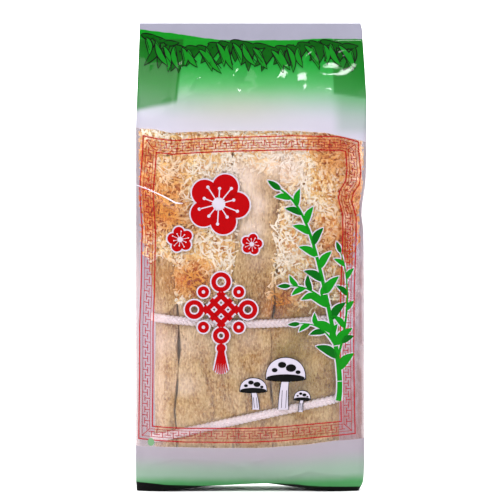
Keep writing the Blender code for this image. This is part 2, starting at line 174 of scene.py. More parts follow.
# %% Node helpers
class Field:
    """A number or a colour in a material, with Python's operators as Math nodes."""

    def __init__(self, plan, socket):
        self.plan, self.socket = plan, socket

    def sum_with(self, operation, *values):
        """A Math node of one operation on the values."""
        inputs = dict(enumerate(values))
        return self.plan.add("Math", inputs, operation=operation)

    def __add__(self, other):
        return self.sum_with("ADD", self, other)

    def __radd__(self, other):
        return self.sum_with("ADD", other, self)

    def __sub__(self, other):
        return self.sum_with("SUBTRACT", self, other)

    def __rsub__(self, other):
        return self.sum_with("SUBTRACT", other, self)

    def __mul__(self, other):
        return self.sum_with("MULTIPLY", self, other)

    def __rmul__(self, other):
        return self.sum_with("MULTIPLY", other, self)

    def __neg__(self):
        return self.sum_with("MULTIPLY", self, -1.0)

    def rise(self, low, high):
        """0 below low and 1 above high, smooth between them."""
        inputs = {0: self, 1: low, 2: high, 3: 0.0, 4: 1.0}
        return self.plan.add("MapRange", inputs, interpolation_type="SMOOTHSTEP")

    def within(self, low=0.0, high=1.0):
        """The same, but never under low or over high."""
        return self.plan.add("Clamp", {0: self, 1: low, 2: high})


class Plan:
    """A new material and the ways to add to it."""

    def __init__(self, name):
        self.material = bpy.data.materials.new(name)
        self.material.use_nodes = True
        self.tree = self.material.node_tree
        self.tree.nodes.clear()

    def add(self, kind, inputs=None, out=0, **settings):
        """A node with its settings and inputs. A Field is linked in, and a number is written in."""
        node = self.tree.nodes.new("ShaderNode" + kind)
        for key, value in settings.items():
            setattr(node, key, value)
        for key, value in (inputs or {}).items():
            if isinstance(value, Field):
                self.tree.links.new(value.socket, node.inputs[key])
            else:
                node.inputs[key].default_value = value
        return Field(self, node.outputs[out])

    def fact(self, name):
        """The number that a piece keeps at each of its points."""
        return self.add("Attribute", out=2, attribute_name=name)

    def place(self, scale=(1, 1, 1)):
        """The object's own coordinates, in metres, times scale."""
        at = self.add("TexCoord", out=3)
        return self.add("VectorMath", {0: at, 1: scale}, operation="MULTIPLY")

    def noise(self, size, detail=3.0, roughness=0.55, stretch=(1, 1, 1)):
        """Noise from 0 to 1 whose lumps are size metres across, or more along a stretched axis."""
        at = self.place([1 / (size * k) for k in stretch])
        return self.add("TexNoise", {"Vector": at, "Scale": 1.0, "Detail": detail, "Roughness": roughness})

    def mixed(self, share, first, second, how="MIX"):
        """The first colour turned into the second as far as share says, or multiplied by it."""
        inputs = {0: share, 6: first, 7: second}
        return self.add("Mix", inputs, out=2, data_type="RGBA", blend_type=how)

    def bump(self, height, depth, strength=1.0):
        """Shading as if the surface rose by height times depth, in metres."""
        return self.add("Bump", {"Height": height, "Distance": depth, "Strength": strength})

    def finish(self, shader):
        """The shader goes to the material's surface, and the material is ready."""
        node = self.tree.nodes.new("ShaderNodeOutputMaterial")
        self.tree.links.new(shader.socket, node.inputs["Surface"])
        return self.material


def paint(red, green, blue):
    """A colour as seen on a screen, 0 to 255, as the linear values that materials use."""
    shares = [c / 255 for c in (red, green, blue)]
    linear = [s / 12.92 if s < 0.04045 else ((s + 0.055) / 1.055) ** 2.4 for s in shares]
    return (*linear, 1.0)


def printed(red, green, blue):
    """The same for an ink, which sends back less light than dry fungus does in this studio."""
    return tuple(0.71 * c for c in paint(red, green, blue)[:3]) + (1.0,)

# %% [markdown]
# ## Camera
#
# The photograph is taken square on from far off, so the camera stands 1.6 m in front with a long
# lens. A pixel of the photograph is 0.636 mm on the pack's front, and the pack's middle and base
# lie at known pixels, so that the camera sees them where the photograph does.

# %% Camera
PHOTO_SIDE, MIDDLE_COLUMN, BASE_LINE = 500, 251, 492
PIXEL_MM = 0.6356
PIXEL = PIXEL_MM * MM
DISTANCE, SENSOR, FRONT_FACE = 1.60, 36, 0.022
camera = bpy.data.objects.new("camera", bpy.data.cameras.new("camera"))
bpy.context.scene.collection.objects.link(camera)
camera.location = (
    (PHOTO_SIDE / 2 - MIDDLE_COLUMN) * PIXEL, -DISTANCE, (BASE_LINE - PHOTO_SIDE / 2) * PIXEL,
)
camera.rotation_euler = (math.pi / 2, 0, 0)
camera.data.sensor_width = SENSOR
camera.data.lens = SENSOR * (DISTANCE - FRONT_FACE) / (PHOTO_SIDE * PIXEL)
camera.data.clip_start = 0.05
bpy.context.scene.camera = camera
bpy.context.scene.view_settings.view_transform = "Standard"

print("camera lens", round(camera.data.lens, 1), "mm")

# %% [markdown]
# ## Floor
#
# The studio's floor is one sheet of pale paper that rises behind the pack through a quarter
# circle, so no corner shows. It is a profile of places in depth and height, drawn out sideways.
# It belongs to the studio and not to the pack, so it is staged.

# %% Floor
floor_plan = Plan("studio_paper")
floor_tone = floor_plan.mixed(
    floor_plan.noise(0.04), (0.93, 0.93, 0.935, 1), (0.90, 0.90, 0.905, 1)
)
floor_paint = floor_plan.finish(
    floor_plan.add("BsdfPrincipled", {"Base Color": floor_tone, "Roughness": 0.8})
)
turn = np.linspace(0, math.pi / 2, 24)
profile = np.vstack([
    [[-3.0, 0.0]],
    np.column_stack([2.2 + 0.6 * np.sin(turn), 0.6 - 0.6 * np.cos(turn)]),
    [[2.8, 3.4]],
])
sweep = [[(x, y, z) for x in (-4.0, 4.0)] for y, z in profile]
floor_mesh = bpy.data.meshes.new("studio_floor")
floor_mesh.from_pydata(np.reshape(sweep, (-1, 3)).tolist(), [], grid_faces(len(profile), 2).tolist())
floor_mesh.materials.append(floor_paint)
floor = bpy.data.objects.new("studio_floor", floor_mesh)
bpy.context.scene.collection.objects.link(floor)
floor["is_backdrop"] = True
print("floor:", len(floor_mesh.polygons), "quads")

# %% [markdown]
# ## Lights
#
# The key light stands high at the left and the fill light lower at the right, both wide, so that
# shadows are soft. A small one draws the film's glints, and one behind lights the backdrop.

# %% Lights
def lamp(name, place, aim, size, power, colour=(1, 1, 1)):
    """A rectangular soft light at a place, turned towards aim."""
    light = bpy.data.lights.new(name, "AREA")
    light.shape, light.size, light.size_y = "RECTANGLE", size[0], size[1]
    light.energy, light.color = power, colour
    made = bpy.data.objects.new(name, light)
    made.location = place
    made.rotation_euler = (Vector(aim) - Vector(place)).to_track_quat("-Z", "Y").to_euler()
    bpy.context.scene.collection.objects.link(made)
    return made


AIM = (0, 0, 0.15)
lamp("key_light", (-0.9, -1.3, 1.35), AIM, (1.3, 1.3), 47)
lamp("fill_light", (1.3, -1.2, 0.7), AIM, (1.2, 1.2), 16, (0.98, 0.98, 1.0))
lamp("glint_light", (0.15, -0.75, 1.25), AIM, (0.11, 0.06), 3)
lamp("backdrop_light", (0, 0.6, 2.1), (0, 2.6, 0.3), (2.6, 1.0), 150)
world = bpy.data.worlds.new("studio")
bpy.context.scene.world = world
world.use_nodes = True
world.node_tree.nodes["Background"].inputs["Color"].default_value = (0.95, 0.96, 1.0, 1)
world.node_tree.nodes["Background"].inputs["Strength"].default_value = 0.55

# %% [markdown]
# ## The film's shape
#
# A pouch like this is a tube of film with a fold down each side. Every level is one section:
# a bulging front panel, a gusset that folds in, a back panel and the other gusset. Near the top
# the panels close into the weld, and the gussets fold in about 24 mm between them. The front
# panel's detail is added to the section: slow waves where the film lies on the fungi, and
# creases, each a line with a height and a width. Because it is a formula, the print can be laid
# on exactly the same surface later.

# %% Film formulas
SEAL_LOW, SHOULDER, BASE_ROUND, TOP = 0.291, 0.222, 0.022, 0.300
HALF_DEPTH, BASE_HALF_DEPTH, CREASE_SHARE = 0.024, 0.0195, 0.604
# height and x of both edges, in mm
LEFT_EDGE = (
    (0, -73.0), (6, -73.6), (20, -73.7), (230, -73.7), (243, -73.1), (262, -72.5), (291, -71.9),
    (300, -71.8),
)
RIGHT_EDGE = (
    (0, 68.5), (5, 71.9), (20, 72.6), (110, 72.6), (166, 72.2), (177, 70.8), (183, 71.4), (196, 73.4),
    (208, 73.9), (235, 73.9), (252, 73.7), (272, 72.8), (291, 71.9), (297, 71.6), (300, 70.4),
)
CREASES = (
    # x and z of both ends, height and width, in mm
    (-74, 195, -45, 180.5, 1.0, 1.3), (-49, 246, -44.5, 292, 0.5, 1.2), (-74, 243, -49, 246.5, -0.6, 2.6),
    (-49, 247, -20, 262, 0.3, 4.0), (74, 248, 50, 253, -0.7, 2.8),
    (50, 252, 24, 244, 0.35, 4.5), (-40, 256, -34, 264, 0.9, 1.0), (72, 193, 64, 181, -1.3, 2.4),
    (72, 172, 62, 183, 1.1, 2.4), (-64, 18, -48, 21.5, 0.8, 1.6), (-48, 21.5, -22, 20, 0.8, 1.6),
    (-22, 20, -4, 16, 0.7, 1.8), (0, 19, 10, 22, 0.6, 1.5), (24, 8, 36, 13, 1.1, 2.0),
    (36, 13, 70, 9, 0.9, 2.2), (-10, 240, 18, 236, 0.5, 3.0),
)
DIMPLES = (
    # x, z, height and reach, in mm: small dents, whose rims catch the light
    (-4, 262.5, -1.7, 4.8), (40, 275, -1.0, 3.4), (60, 278, -0.7, 3.0),
    (50.5, 252.5, 0.8, 2.2), (-71, 157, 0.9, 3.0), (-38, 259, 0.7, 1.8), (3, 244, 0.4, 3.0),
)


def from_table(table, height):
    """A smooth line through the table's points, both in mm, read at a height in metres."""
    rows = np.array(table, float)
    spots = np.asarray(height) * 1000
    return sum(np.interp(spots + shift, rows[:, 0], rows[:, 1]) for shift in (-2, -1, 0, 1, 2)) / 5 * MM


def closing(height):
    """1 below the shoulder, falling to 0 at the weld."""
    return np.clip((SEAL_LOW - height) / (SEAL_LOW - SHOULDER), 0, 1)


def half_depth(height):
    """Half the pack's depth: rounded in at the base, level, then a quarter sine in to the weld."""
    body = HALF_DEPTH * np.sin(math.pi / 2 * closing(height))
    rounding = np.sin(math.pi / 2 * np.clip(height / BASE_ROUND, 0, 1))
    return np.maximum(body - (HALF_DEPTH - BASE_HALF_DEPTH) * (1 - rounding), 0.0008)


def crease_depth(height):
    """How far the folds between panel and gusset stand from the middle, in depth."""
    share = closing(height)
    return half_depth(height) * (CREASE_SHARE + (1 - CREASE_SHARE) * (1 - share))


def fold_depth(height):
    """How far the gusset's middle folds in: hardly at the belly, about 24 mm above the shoulder."""
    lower = 0.0035 * (1 - ease(np.abs(height - 0.070) / 0.045))
    return 0.0015 + lower + 0.0228 * ease((height - 0.239) / 0.022)


def segment_distance(x, z, x0, z0, x1, z1):
    """Distance to a line from one point to another, and how far along it the nearest point lies."""
    run = (x1 - x0, z1 - z0)
    share = np.clip(((x - x0) * run[0] + (z - z0) * run[1]) / (run[0] ** 2 + run[1] ** 2), 0, 1)
    return np.hypot(x - x0 - share * run[0], z - z0 - share * run[1]), share


def film_detail(x, z):
    """How far the front stands out over its plain section: waves, creases and dimples, in metres."""
    x, z = np.asarray(x) / MM, np.asarray(z) / MM
    flat = np.stack([x, z], axis=-1)
    taut = ease((z - 32) / 12) * ease((236 - z) / 14)
    calm = 1 - 0.45 * ease((z - 240) / 15)
    waves = (0.35 * soft_noise(flat / (26, 34), 3) + 0.12 * soft_noise(flat / 9, 4)) * calm
    loose = (1 - taut) * (0.55 * ridges(flat / (34, 22), 5) + 0.22 * ridges(flat / (12, 9), 6) - 0.35)
    total = waves + 0.6 * loose
    for x0, z0, x1, z1, height, width in CREASES:
        away, share = segment_distance(x, z, x0, z0, x1, z1)
        ridge = height * np.exp(-np.abs(away / width) ** 1.4)
        total = total + ridge * (0.35 + 0.65 * np.sin(math.pi * share))
    for x0, z0, height, reach in DIMPLES:
        spot = np.hypot(x - x0, (z - z0) * 0.8)
        total = total + height * np.exp(-((spot / reach) ** 2)) * (1 + 0.3 * soft_noise(flat / 2.2, 7))
    crackle = ease(1 - np.abs(x - 12) / 34) * ease(1 - np.abs(z - 287) / 5)
    total = total + 0.16 * crackle * soft_noise(flat / 1.5, 8)
    fade = ease((0.0022 + half_depth(z * MM)) / 0.008 - 0.3)
    return total * MM * fade


def film_front(x, z, lift=0.0):
    """The front panel's y at a place (x, z), with lift metres added outwards."""
    left, right = from_table(LEFT_EDGE, z), from_table(RIGHT_EDGE, z)
    across = np.clip((2 * x - left - right) / (right - left), -1, 1)
    swell = (half_depth(z) - crease_depth(z)) * np.sqrt(1 - np.abs(across) ** 5)
    edge = ease((1 - np.abs(across)) / 0.06)
    return -crease_depth(z) - swell - film_detail(x, z) * edge - lift


print("front at the belly:", round(float(film_front(np.array([0.0]), np.array([0.1]))[0]) / MM, 1), "mm")

# %% [markdown]
# ## The print's zones
#
# The print is a set of zones by height: a milky weld strip, a deep green band, a green that
# fades into white, the clear window, and white that turns green at the base. The zones wave a
# little, because the film is formed after it is printed, so each point of the film keeps the
# height that it had on the flat print.

# %% Print height
# x and height of each zone's edge on the filled pack, and its height on the flat print, in mm
WINDOW_TOP = (
    (-74, 231.6), (-60, 230.2), (-51, 228.3), (-40, 228.8), (-10, 229.6), (30, 229.4), (48, 228.2),
    (60, 225.4), (74, 222.5),
)
WINDOW_BOTTOM = ((-74, 29.2), (-58, 28.8), (-20, 28.0), (10, 28.2), (35, 30.2), (56, 33.0), (74, 34.2))
BAND_TOP = ((-74, 296.4), (-60, 294.6), (-45, 292.4), (-22, 289.3), (5, 288.7), (50, 289.9), (74, 289.8))
FLAT_BOTTOM, FLAT_TOP, FLAT_BAND, FLAT_END = 28.6, 229.5, 290, 300


def print_height(x, z):
    """The height on the flat print, in metres: z, stretched so that each zone's edge is level."""
    spots = x / MM
    bottom = np.interp(spots, *np.array(WINDOW_BOTTOM).T)
    top = np.interp(spots, *np.array(WINDOW_TOP).T)
    band = np.interp(spots, *np.array(BAND_TOP).T)
    z = z / MM
    window = FLAT_BOTTOM + (z - bottom) * (FLAT_TOP - FLAT_BOTTOM) / (top - bottom)
    flat = np.where(z < bottom, z * FLAT_BOTTOM / bottom, window)
    flat = np.where(z > top, FLAT_TOP + (z - top) * (FLAT_BAND - FLAT_TOP) / (band - top), flat)
    weld = FLAT_BAND + (z - band) * (FLAT_END - FLAT_BAND) / np.maximum(FLAT_END - band, 1)
    flat = np.where(z > band, weld, flat)
    return flat * MM


print("flat print:", [round(float(print_height(0.0, z * MM)) / MM, 1) for z in (28, 229, 289)], "mm")

# %% [markdown]
# ## The film's points
#
# The film is one closed grid: a ring of points at each level, from the front's left edge round
# past both gussets, with a middle point for the base and one for the top. The rings lie a little
# closer together near both ends, where the film bends most. The base arches clear of the floor
# between its two ends, as a filled pouch does.

# %% Film points
# x, and how far the base stands clear of the floor there, in mm
ARCH = (
    (-74, 0), (-56, 0), (-45, 1.6), (-25, 3.7), (0, 4.9), (20, 5.6), (27, 5.2), (33, 3.6), (42, 1.2),
    (50, 0), (74, 0),
)
FRONT_STEPS, SIDE_STEPS, BACK_STEPS, LEVELS = 160, 10, 60, 250


def base_lift(x, height):
    """The base's middle arches clear of the floor, and both ends stand on it."""
    return from_table(ARCH, x) * np.clip(1 - height / 0.018, 0, 1) ** 2


def film_grid():
    """Rows of points round the pack from its base to its weld, and the facts of each point."""
    run = np.linspace(-1, 1, FRONT_STEPS + 1)
    front = 0.7 * run + 0.3 * np.sin(run * math.pi / 2)
    back = np.linspace(-1, 1, BACK_STEPS + 1)
    side = np.linspace(0, 1, SIDE_STEPS + 1)[1:]
    rows, facts = [], []
    spread = np.linspace(0, 1, LEVELS)
    for height in TOP * (0.9 * spread + 0.1 * (0.5 - 0.5 * np.cos(math.pi * spread))):
        left, right = float(from_table(LEFT_EDGE, height)), float(from_table(RIGHT_EDGE, height))
        middle, half = (left + right) / 2, (right - left) / 2
        crease, fold = float(crease_depth(height)), float(fold_depth(height))
        swell = float(half_depth(height)) - crease
        level = np.full(len(front), height)
        x = middle + half * front
        parts = [np.column_stack([x, film_front(x, level)])]
        inward = np.column_stack([right - fold * side, -crease * (1 - side)])
        outward = np.column_stack([right - fold * (1 - side), crease * side])[:-1]
        parts += [inward, outward]
        bulge = swell * np.sqrt(1 - np.abs(back) ** 5)
        ripple = 0.0006 * soft_noise(np.column_stack([back * 3, np.full(len(back), height * 40)]), 9)
        parts.append(np.column_stack([middle - half * back, crease + bulge + ripple * swell / 0.0095]))
        inward = np.column_stack([left + fold * side, crease * (1 - side)])
        outward = np.column_stack([left + fold * (1 - side), -crease * side])[:-1]
        parts += [inward, outward]
        ring = np.vstack(parts)
        z = height + base_lift(ring[:, 0], height)
        rows.append(np.column_stack([ring, z]))
        is_front = np.zeros(len(ring))
        is_front[: len(front)] = 1
        facts.append(is_front)
    return np.array(rows), np.array(facts)


rings, is_front = film_grid()
count = rings.shape[1]
film_points = rings.reshape(-1, 3)
foot, crown = rings[0].mean(0) * (1, 1, 0) + (0, 0, 0.0058), rings[-1].mean(0)
film_points = np.vstack([film_points, foot, crown])
faces = [tuple(face) for face in grid_faces(len(rings), count, wrap_columns=True)]
last = (len(rings) - 1) * count
for i in range(count):
    faces.append(((i + 1) % count, i, len(film_points) - 2))
    faces.append((last + i, last + (i + 1) % count, len(film_points) - 1))
print("film:", film_points.shape[0], "points in", len(rings), "levels")

# %% [markdown]
# ## What the film's finish reads
#
# The film doesn't look the same all over. The gussets folded in behind the green band darken it
# with painted shade, the window's film is milky along its edges, with two columns of painted
# sheen at the lower left, and a thin brown veil lies at its right, where dry fungus comes near the
# film. Each of these is a number from 0 to 1 at each point, worked out in mm from the point's
# place, and only the front has them. The black sole, dark print with painted shade under the
# base, goes all round. Its number is in mm: over 0 where the film is lower than the line that
# SOLE draws along the base.

# %% Film facts
# x, and how high the black sole, dark print with painted shade under the base, reaches there, in mm
SOLE = (
    (-74, 6.0), (-66, 5.5), (-58, 4.8), (-50, 3.7), (-42, 2.6), (-32, 1.3), (-25, 0.1), (-20, -1.5),
    (25, -1.5), (30, 0.3), (41, 2.4), (50, 3.2), (67, 2.9), (74, 2.4),
)


def gusset_shade(x, z):
    """Painted shade where the gussets lie behind the green band, with slack film at the right, up to the
    weld.
    """
    left = ease((-46.5 + (z - 247) * 0.09 - x) / 1.4) * ease((z - 240.5 - (x + 74) * 0.2) / 4.5)
    right = ease((x - 52) / 1.2) * ease((z - 252 + (x - 52) * 0.16) / 3.0)
    slack = 0.45 * ease((x - 50) / 9) * ease((z - 225) / 8)
    return np.maximum.reduce([left, 0.85 * right, 0.75 * slack]) * ease((290.5 - z) / 1.5)


def milky_margin_and_sheen(x, z):
    """A milky strip along both edges, stronger low down, and two soft columns of painted sheen at the lower
    left.
    """
    margin = ease((np.abs(x + 0.6) - 68.5) / 2.5) * (0.15 + 0.85 * ease((165 - z) / 30))
    # painted sheen: two soft columns of the film's glare over the stems at the lower left
    painted_sheen = np.exp(-(((x + 58) / 5) ** 2)) * ease((132 - z) / 20)
    painted_sheen = painted_sheen + 0.7 * np.exp(-(((x + 66) / 5) ** 2)) * ease((150 - z) / 30)
    return np.maximum(margin, 0.55 * painted_sheen)


def brown_veil(x, z):
    """A soft column between the bundle and the film's right edge, stronger low down."""
    return ease((x - 53.5) / 4) * ease((71.5 - x) / 3.5) * (0.35 + 0.65 * ease((190 - z) / 40))


def warm_glow(x, z):
    """A soft patch just above the window, where the skirts shine through the white print."""
    return np.exp(-(((x + 8) / 36) ** 2) - (((z - 243) / 11) ** 2))


px, pz = film_points[:, 0] / MM, film_points[:, 2] / MM
front_fact = np.append(is_front.ravel(), [0, 0])
level = np.append(np.repeat(rings[:, 0, 2] / MM, count), [0, 0])
film_facts = {
    "print_height": print_height(film_points[:, 0], film_points[:, 2]),
    "front": front_fact,
    "gusset": front_fact * gusset_shade(px, pz),
    "warm": front_fact * warm_glow(px, pz),
    "margin": front_fact * milky_margin_and_sheen(px, pz),
    "dark_sole_and_shade": np.interp(px, *np.array(SOLE).T) - level,
    "dust": front_fact * brown_veil(px, pz),
}
print("film facts:", ", ".join(film_facts))

# %% [markdown]
# ## The film's finish
#
# Two finishes are mixed by how much ink covers the film. Where there is none, the film lets
# light through and only mirrors a little of the studio, more at a grazing angle. Where there is
# ink, it is an ordinary coloured surface under a glossy coat. Each zone of the print is one
# smooth step on the print height, and the facts above shade it, with painted shade where the
# gussets lie behind and at the dark sole. In the window, a thin haze with blotches of painted
# highlight, the milky margins with painted sheen at the lower left, and the brown veil cover the
# film a little, as far as their numbers say.

# %% Film material
def film_material():
    """Clear and inked film, mixed by how much ink covers it at each point."""
    plan = Plan("printed_film")
    height = plan.fact("print_height") * 1000
    front, gusset, warm = plan.fact("front"), plan.fact("gusset"), plan.fact("warm")
    mottle = plan.noise(0.018, 4.0)
    height = height + (mottle - 0.5) * 2.2 * (1 - front * height.rise(26, 30) * (1 - height.rise(228, 232)))
    colour = plan.mixed(height.rise(236, 262), printed(208, 205, 222), printed(96, 184, 112))
    colour = plan.mixed(height.rise(252, 275), colour, printed(20, 156, 50))
    colour = plan.mixed(height.rise(272, 283), colour, printed(4, 148, 26))
    colour = plan.mixed(warm * 0.3, colour, printed(190, 186, 130))
    low = plan.mixed(height.rise(4.5, 11), printed(84, 166, 98), printed(160, 188, 168))
    low = plan.mixed(height.rise(11, 24), low, printed(182, 173, 185))
    colour = plan.mixed(height.rise(30, 105), low, colour)
    # painted shade where the gussets and slack film lie behind the green band
    colour = plan.mixed(gusset * 0.85, colour, paint(68, 172, 70), "MULTIPLY")
    above = lambda level: height.rise(level - 0.3, level + 0.3)
    in_weld, dark_sole_and_shade = above(FLAT_BAND), plan.fact("dark_sole_and_shade").rise(-0.4, 0.3)
    # the black sole: dark print, with painted shade under the base
    colour = plan.mixed(dark_sole_and_shade, colour, printed(4, 5, 4))
    colour = plan.mixed(in_weld, colour, plan.mixed(mottle, printed(136, 134, 149), printed(150, 148, 164)))
    window = front * above(FLAT_BOTTOM) * (1 - above(FLAT_TOP))
    # a thin haze of the film, with blotches of painted highlight where the film shines over the fungi
    haze_and_glare = 0.006 + 0.022 * plan.noise(0.012, 2.0) + 0.09 * plan.noise(0.006, 2.0).rise(0.62, 0.78)
    margin = plan.fact("margin")
    dust = plan.fact("dust") * plan.noise(0.0025, 3.0, stretch=(1, 1, 3)).rise(0.25, 0.7)
    milky_sheen, dusty = paint(255, 226, 222), paint(158, 84, 58)
    colour = plan.mixed(window, colour, plan.mixed(dust.rise(0, 0.2), milky_sheen, dusty))
    cover = 1 - window * (1 - haze_and_glare - 0.26 * margin - 0.42 * dust)
    fine = plan.bump(plan.noise(0.0035, 2.0), 0.00012, 0.5)
    mirror = plan.add("BsdfGlossy", {"Color": (1, 1, 1, 1), "Roughness": 0.09, "Normal": fine})
    through = plan.add("BsdfTransparent", {"Color": (1.0, 0.985, 1.0, 1)})
    shine = (plan.add("Fresnel", {"IOR": 1.48, "Normal": fine}) * 1.1).within()
    clear = plan.add("MixShader", {0: shine, 1: through, 2: mirror})
    face = plan.add("BsdfPrincipled", {
        "Base Color": colour, "Roughness": 0.45, "Specular IOR Level": 0.08,
        "Coat Weight": 0.2 * (1 - 0.9 * dark_sole_and_shade), "Coat Roughness": 0.05, "Normal": fine,
    })
    glow = plan.add("BsdfTranslucent", {"Color": colour, "Normal": fine})
    inked = plan.add("MixShader", {0: 0.35 * (1 - in_weld), 1: face, 2: glow})
    return plan.finish(plan.add("MixShader", {0: cover.within(), 1: clear, 2: inked}))


film = piece("pack_film", film_points, faces, film_material(), film_facts)
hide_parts("film_pack")
print("film:", triangles(film), "triangles")

# %% [markdown]
# ## The seam behind
#
# A side-gusset pouch is folded from a tube of film, so a seam runs the whole way up it. The
# photograph doesn't show the back. The seam here is the usual one, a lap 10 mm wide up the
# middle, made from the film's own points, a little further out and a little further in.

# %% Back seam
middle = FRONT_STEPS + 2 * SIDE_STEPS + BACK_STEPS // 2
lap = rings[:, middle - 2 : middle + 3]
lap = np.concatenate([lap + (0, 0.00035, 0), lap[:, ::-1] - (0, 0.0001, 0)], 1)
spots = lap.reshape(-1, 3)
faces = [tuple(face) for face in grid_faces(len(lap), 10, wrap_columns=True)]
faces += [tuple(range(9, -1, -1)), tuple(range(len(spots) - 10, len(spots)))]
nought = np.zeros(len(spots))
seam_facts = {
    "print_height": print_height(spots[:, 0], spots[:, 2]),
    "front": nought, "gusset": nought, "warm": nought, "margin": nought, "dark_sole_and_shade": nought - 2,
}
seam = piece("back_seam", spots, faces, film.data.materials[0], seam_facts, smooth=False)
print("back seam:", triangles(seam), "triangles,", round(float(np.ptp(spots[:, 0])) / MM, 1), "mm wide")

# %% [markdown]
# ## Ink on the window
#
# The printed motifs are thin patches of ink that lie on the film. A patch is a function of two
# parameters on a grid, so it bends with the film wherever it is. A motif is drawn on a white
# underprint that is a little larger, which gives the white outline of this kind of print.

# %% Ink helpers
INKS = {}


def ink(name, colour):
    """A flat printing ink: even, with faint mottling, under the film's own gloss."""
    if name not in INKS:
        plan = Plan(f"ink_{name}")
        colour = tuple(0.69 * c for c in colour[:3]) + (1.0,)
        tone = plan.mixed(plan.noise(0.004, 3.0) * 0.22, colour, tuple(0.8 * c for c in colour[:3]) + (1,))
        INKS[name] = plan.finish(plan.add("BsdfPrincipled", {
            "Base Color": tone, "Roughness": 0.4, "Specular IOR Level": 0.03,
            "Coat Weight": 0.06, "Coat Roughness": 0.05,
        }))
    return INKS[name]


RED, WHITE, BLACK = paint(160, 0, 5), paint(192, 184, 198), paint(8, 7, 7)
LEAF, DEEP_LEAF = paint(14, 124, 20), paint(2, 88, 14)


class Motif:
    """Patches of one ink, gathered into one piece."""

    def __init__(self, name, colour_name, colour, lift):
        self.name, self.material, self.lift = name, ink(colour_name, colour), lift * MM
        self.points, self.faces = [], []

    def patch(self, spots):
        """A grid of places (x, z) in mm, laid on the film."""
        spots = np.asarray(spots, float) * MM
        rows, columns = spots.shape[:2]
        along, up = np.diff(spots, axis=1)[:-1], np.diff(spots, axis=0)[:, :-1]
        if (along[..., 0] * up[..., 1] - along[..., 1] * up[..., 0]).sum() < 0:
            spots = spots[:, ::-1]
        x, z = spots[..., 0].ravel(), spots[..., 1].ravel()
        start = sum(len(p) for p in self.points)
        self.points.append(np.column_stack([x, film_front(x, z, self.lift), z]))
        self.faces.append(grid_faces(rows, columns) + start)

    def stroke(self, line, widths, step=1.2):
        """A ribbon along a line of places in mm, of a width or of one width for each place."""
        line = np.asarray(line, float)
        widths = np.broadcast_to(widths, len(line)).astype(float)
        length = np.concatenate([[0], np.cumsum(np.linalg.norm(np.diff(line, axis=0), axis=1))])
        stops = np.linspace(0, length[-1], max(2, int(length[-1] / step) + 1))
        line = np.column_stack([np.interp(stops, length, line[:, k]) for k in (0, 1)])
        widths = np.interp(stops, length, widths)
        run = np.gradient(line, axis=0)
        run /= np.maximum(np.linalg.norm(run, axis=1), 1e-9)[:, None]
        side = np.column_stack([run[:, 1], -run[:, 0]])
        across = np.linspace(-0.5, 0.5, 4)
        self.patch(line[:, None, :] + side[:, None, :] * (across[None, :] * widths[:, None])[..., None])

    def disc(self, centre, radius, squash=1.0, inner=0.0):
        """A disc, or a ring if inner is over 0. squash is its height over its width."""
        turn = np.linspace(0, 2 * math.pi, 13 + 4 * min(int(radius), 9))
        reach = np.linspace(inner, 1.0, 3 if inner else 2 + min(int(radius), 7))[:, None]
        x = centre[0] + radius * reach * np.cos(turn)
        z = centre[1] + radius * squash * reach * np.sin(turn)
        self.patch(np.stack([x, z], axis=-1))

    def leaf(self, base, tip, width, bend=0.0, grow=0.0):
        """A pointed leaf from base to tip, bent to one side. grow makes it larger all round."""
        base, tip = np.array(base, float), np.array(tip, float)
        run = tip - base
        length = np.linalg.norm(run)
        run /= length
        side = np.array([run[1], -run[0]])
        share = np.linspace(0, 1, 13)
        spine = base + run * ((length + 2 * grow) * share - grow)[:, None]
        spine = spine + side * (bend * length * np.sin(math.pi * share))[:, None]
        widths = (width + 2 * grow) * np.sin(math.pi * share ** 0.8) ** 0.8
        across = np.linspace(-0.5, 0.5, 5)
        self.patch(spine[:, None, :] + side * (across[None, :] * widths[:, None])[..., None])

    def print(self):
        """All the patches as one piece on the film."""
        made = piece(self.name, np.vstack(self.points), np.vstack(self.faces), self.material)
        print(self.name + ":", triangles(made), "triangles")
        return made

# %% [markdown]
# ## The fret border
#
# The window has the traditional key-fret frame: a heavy line outside and inside, a fine line
# next to each, and between the fine lines a row of upright and hanging Ts in turn, 7 mm apart.
# The corners are mitred. The frame is stretched between four edge lines, which follow the bends
# that the filled pack puts into it.

# %% Fret border
# pixels of the photograph: down and across for the upright edges, across and down for the others
FRAME_LEFT = (
    (438.7, 138.5), (411, 138.8), (369, 139.4), (327, 139.4), (285, 141), (251, 141.5), (230, 142),
    (199, 139.9), (186, 139.6), (169, 141), (151, 142.4), (135.5, 143),
)
FRAME_RIGHT = (
    (433.6, 355.2), (390, 354.3), (348, 353.8), (289, 354.3), (262, 355.4), (235, 356.4),
    (217.6, 356.4), (201, 351.7), (193.4, 353.3), (184, 359.6), (172, 361), (151, 359), (141.8, 358.5),
)
FRAME_TOP = (
    (143, 135.5), (156, 138.7), (174, 140.8), (195, 139.2), (227, 137.6), (252, 137.1), (290, 136),
    (340, 136.8), (358.5, 141.8),
)
FRAME_BOTTOM = (
    (138.5, 438.7), (158, 440.3), (185, 441.8), (227, 442), (248, 442), (280, 440.6), (311, 437.6),
    (355.2, 433.6),
)
# the frame's size, its lines' insets, the ends of its Ts and their spacing, in mm
FRAME_WIDTH, FRAME_HEIGHT = 137.5, 192.4
OUTER, OUTER_FINE, INNER_FINE, INNER = 0.0, 2.1, 6.95, 8.7
HEAVY, FINE, PITCH, CORNER_ROOM = 0.72, 0.34, 7.07, 6.5


def to_mm(pixel_x, pixel_y):
    """Pixels of the photograph as mm on the pack's front, from its middle and its base."""
    return (np.asarray(pixel_x) - MIDDLE_COLUMN) * PIXEL_MM, (BASE_LINE - np.asarray(pixel_y)) * PIXEL_MM


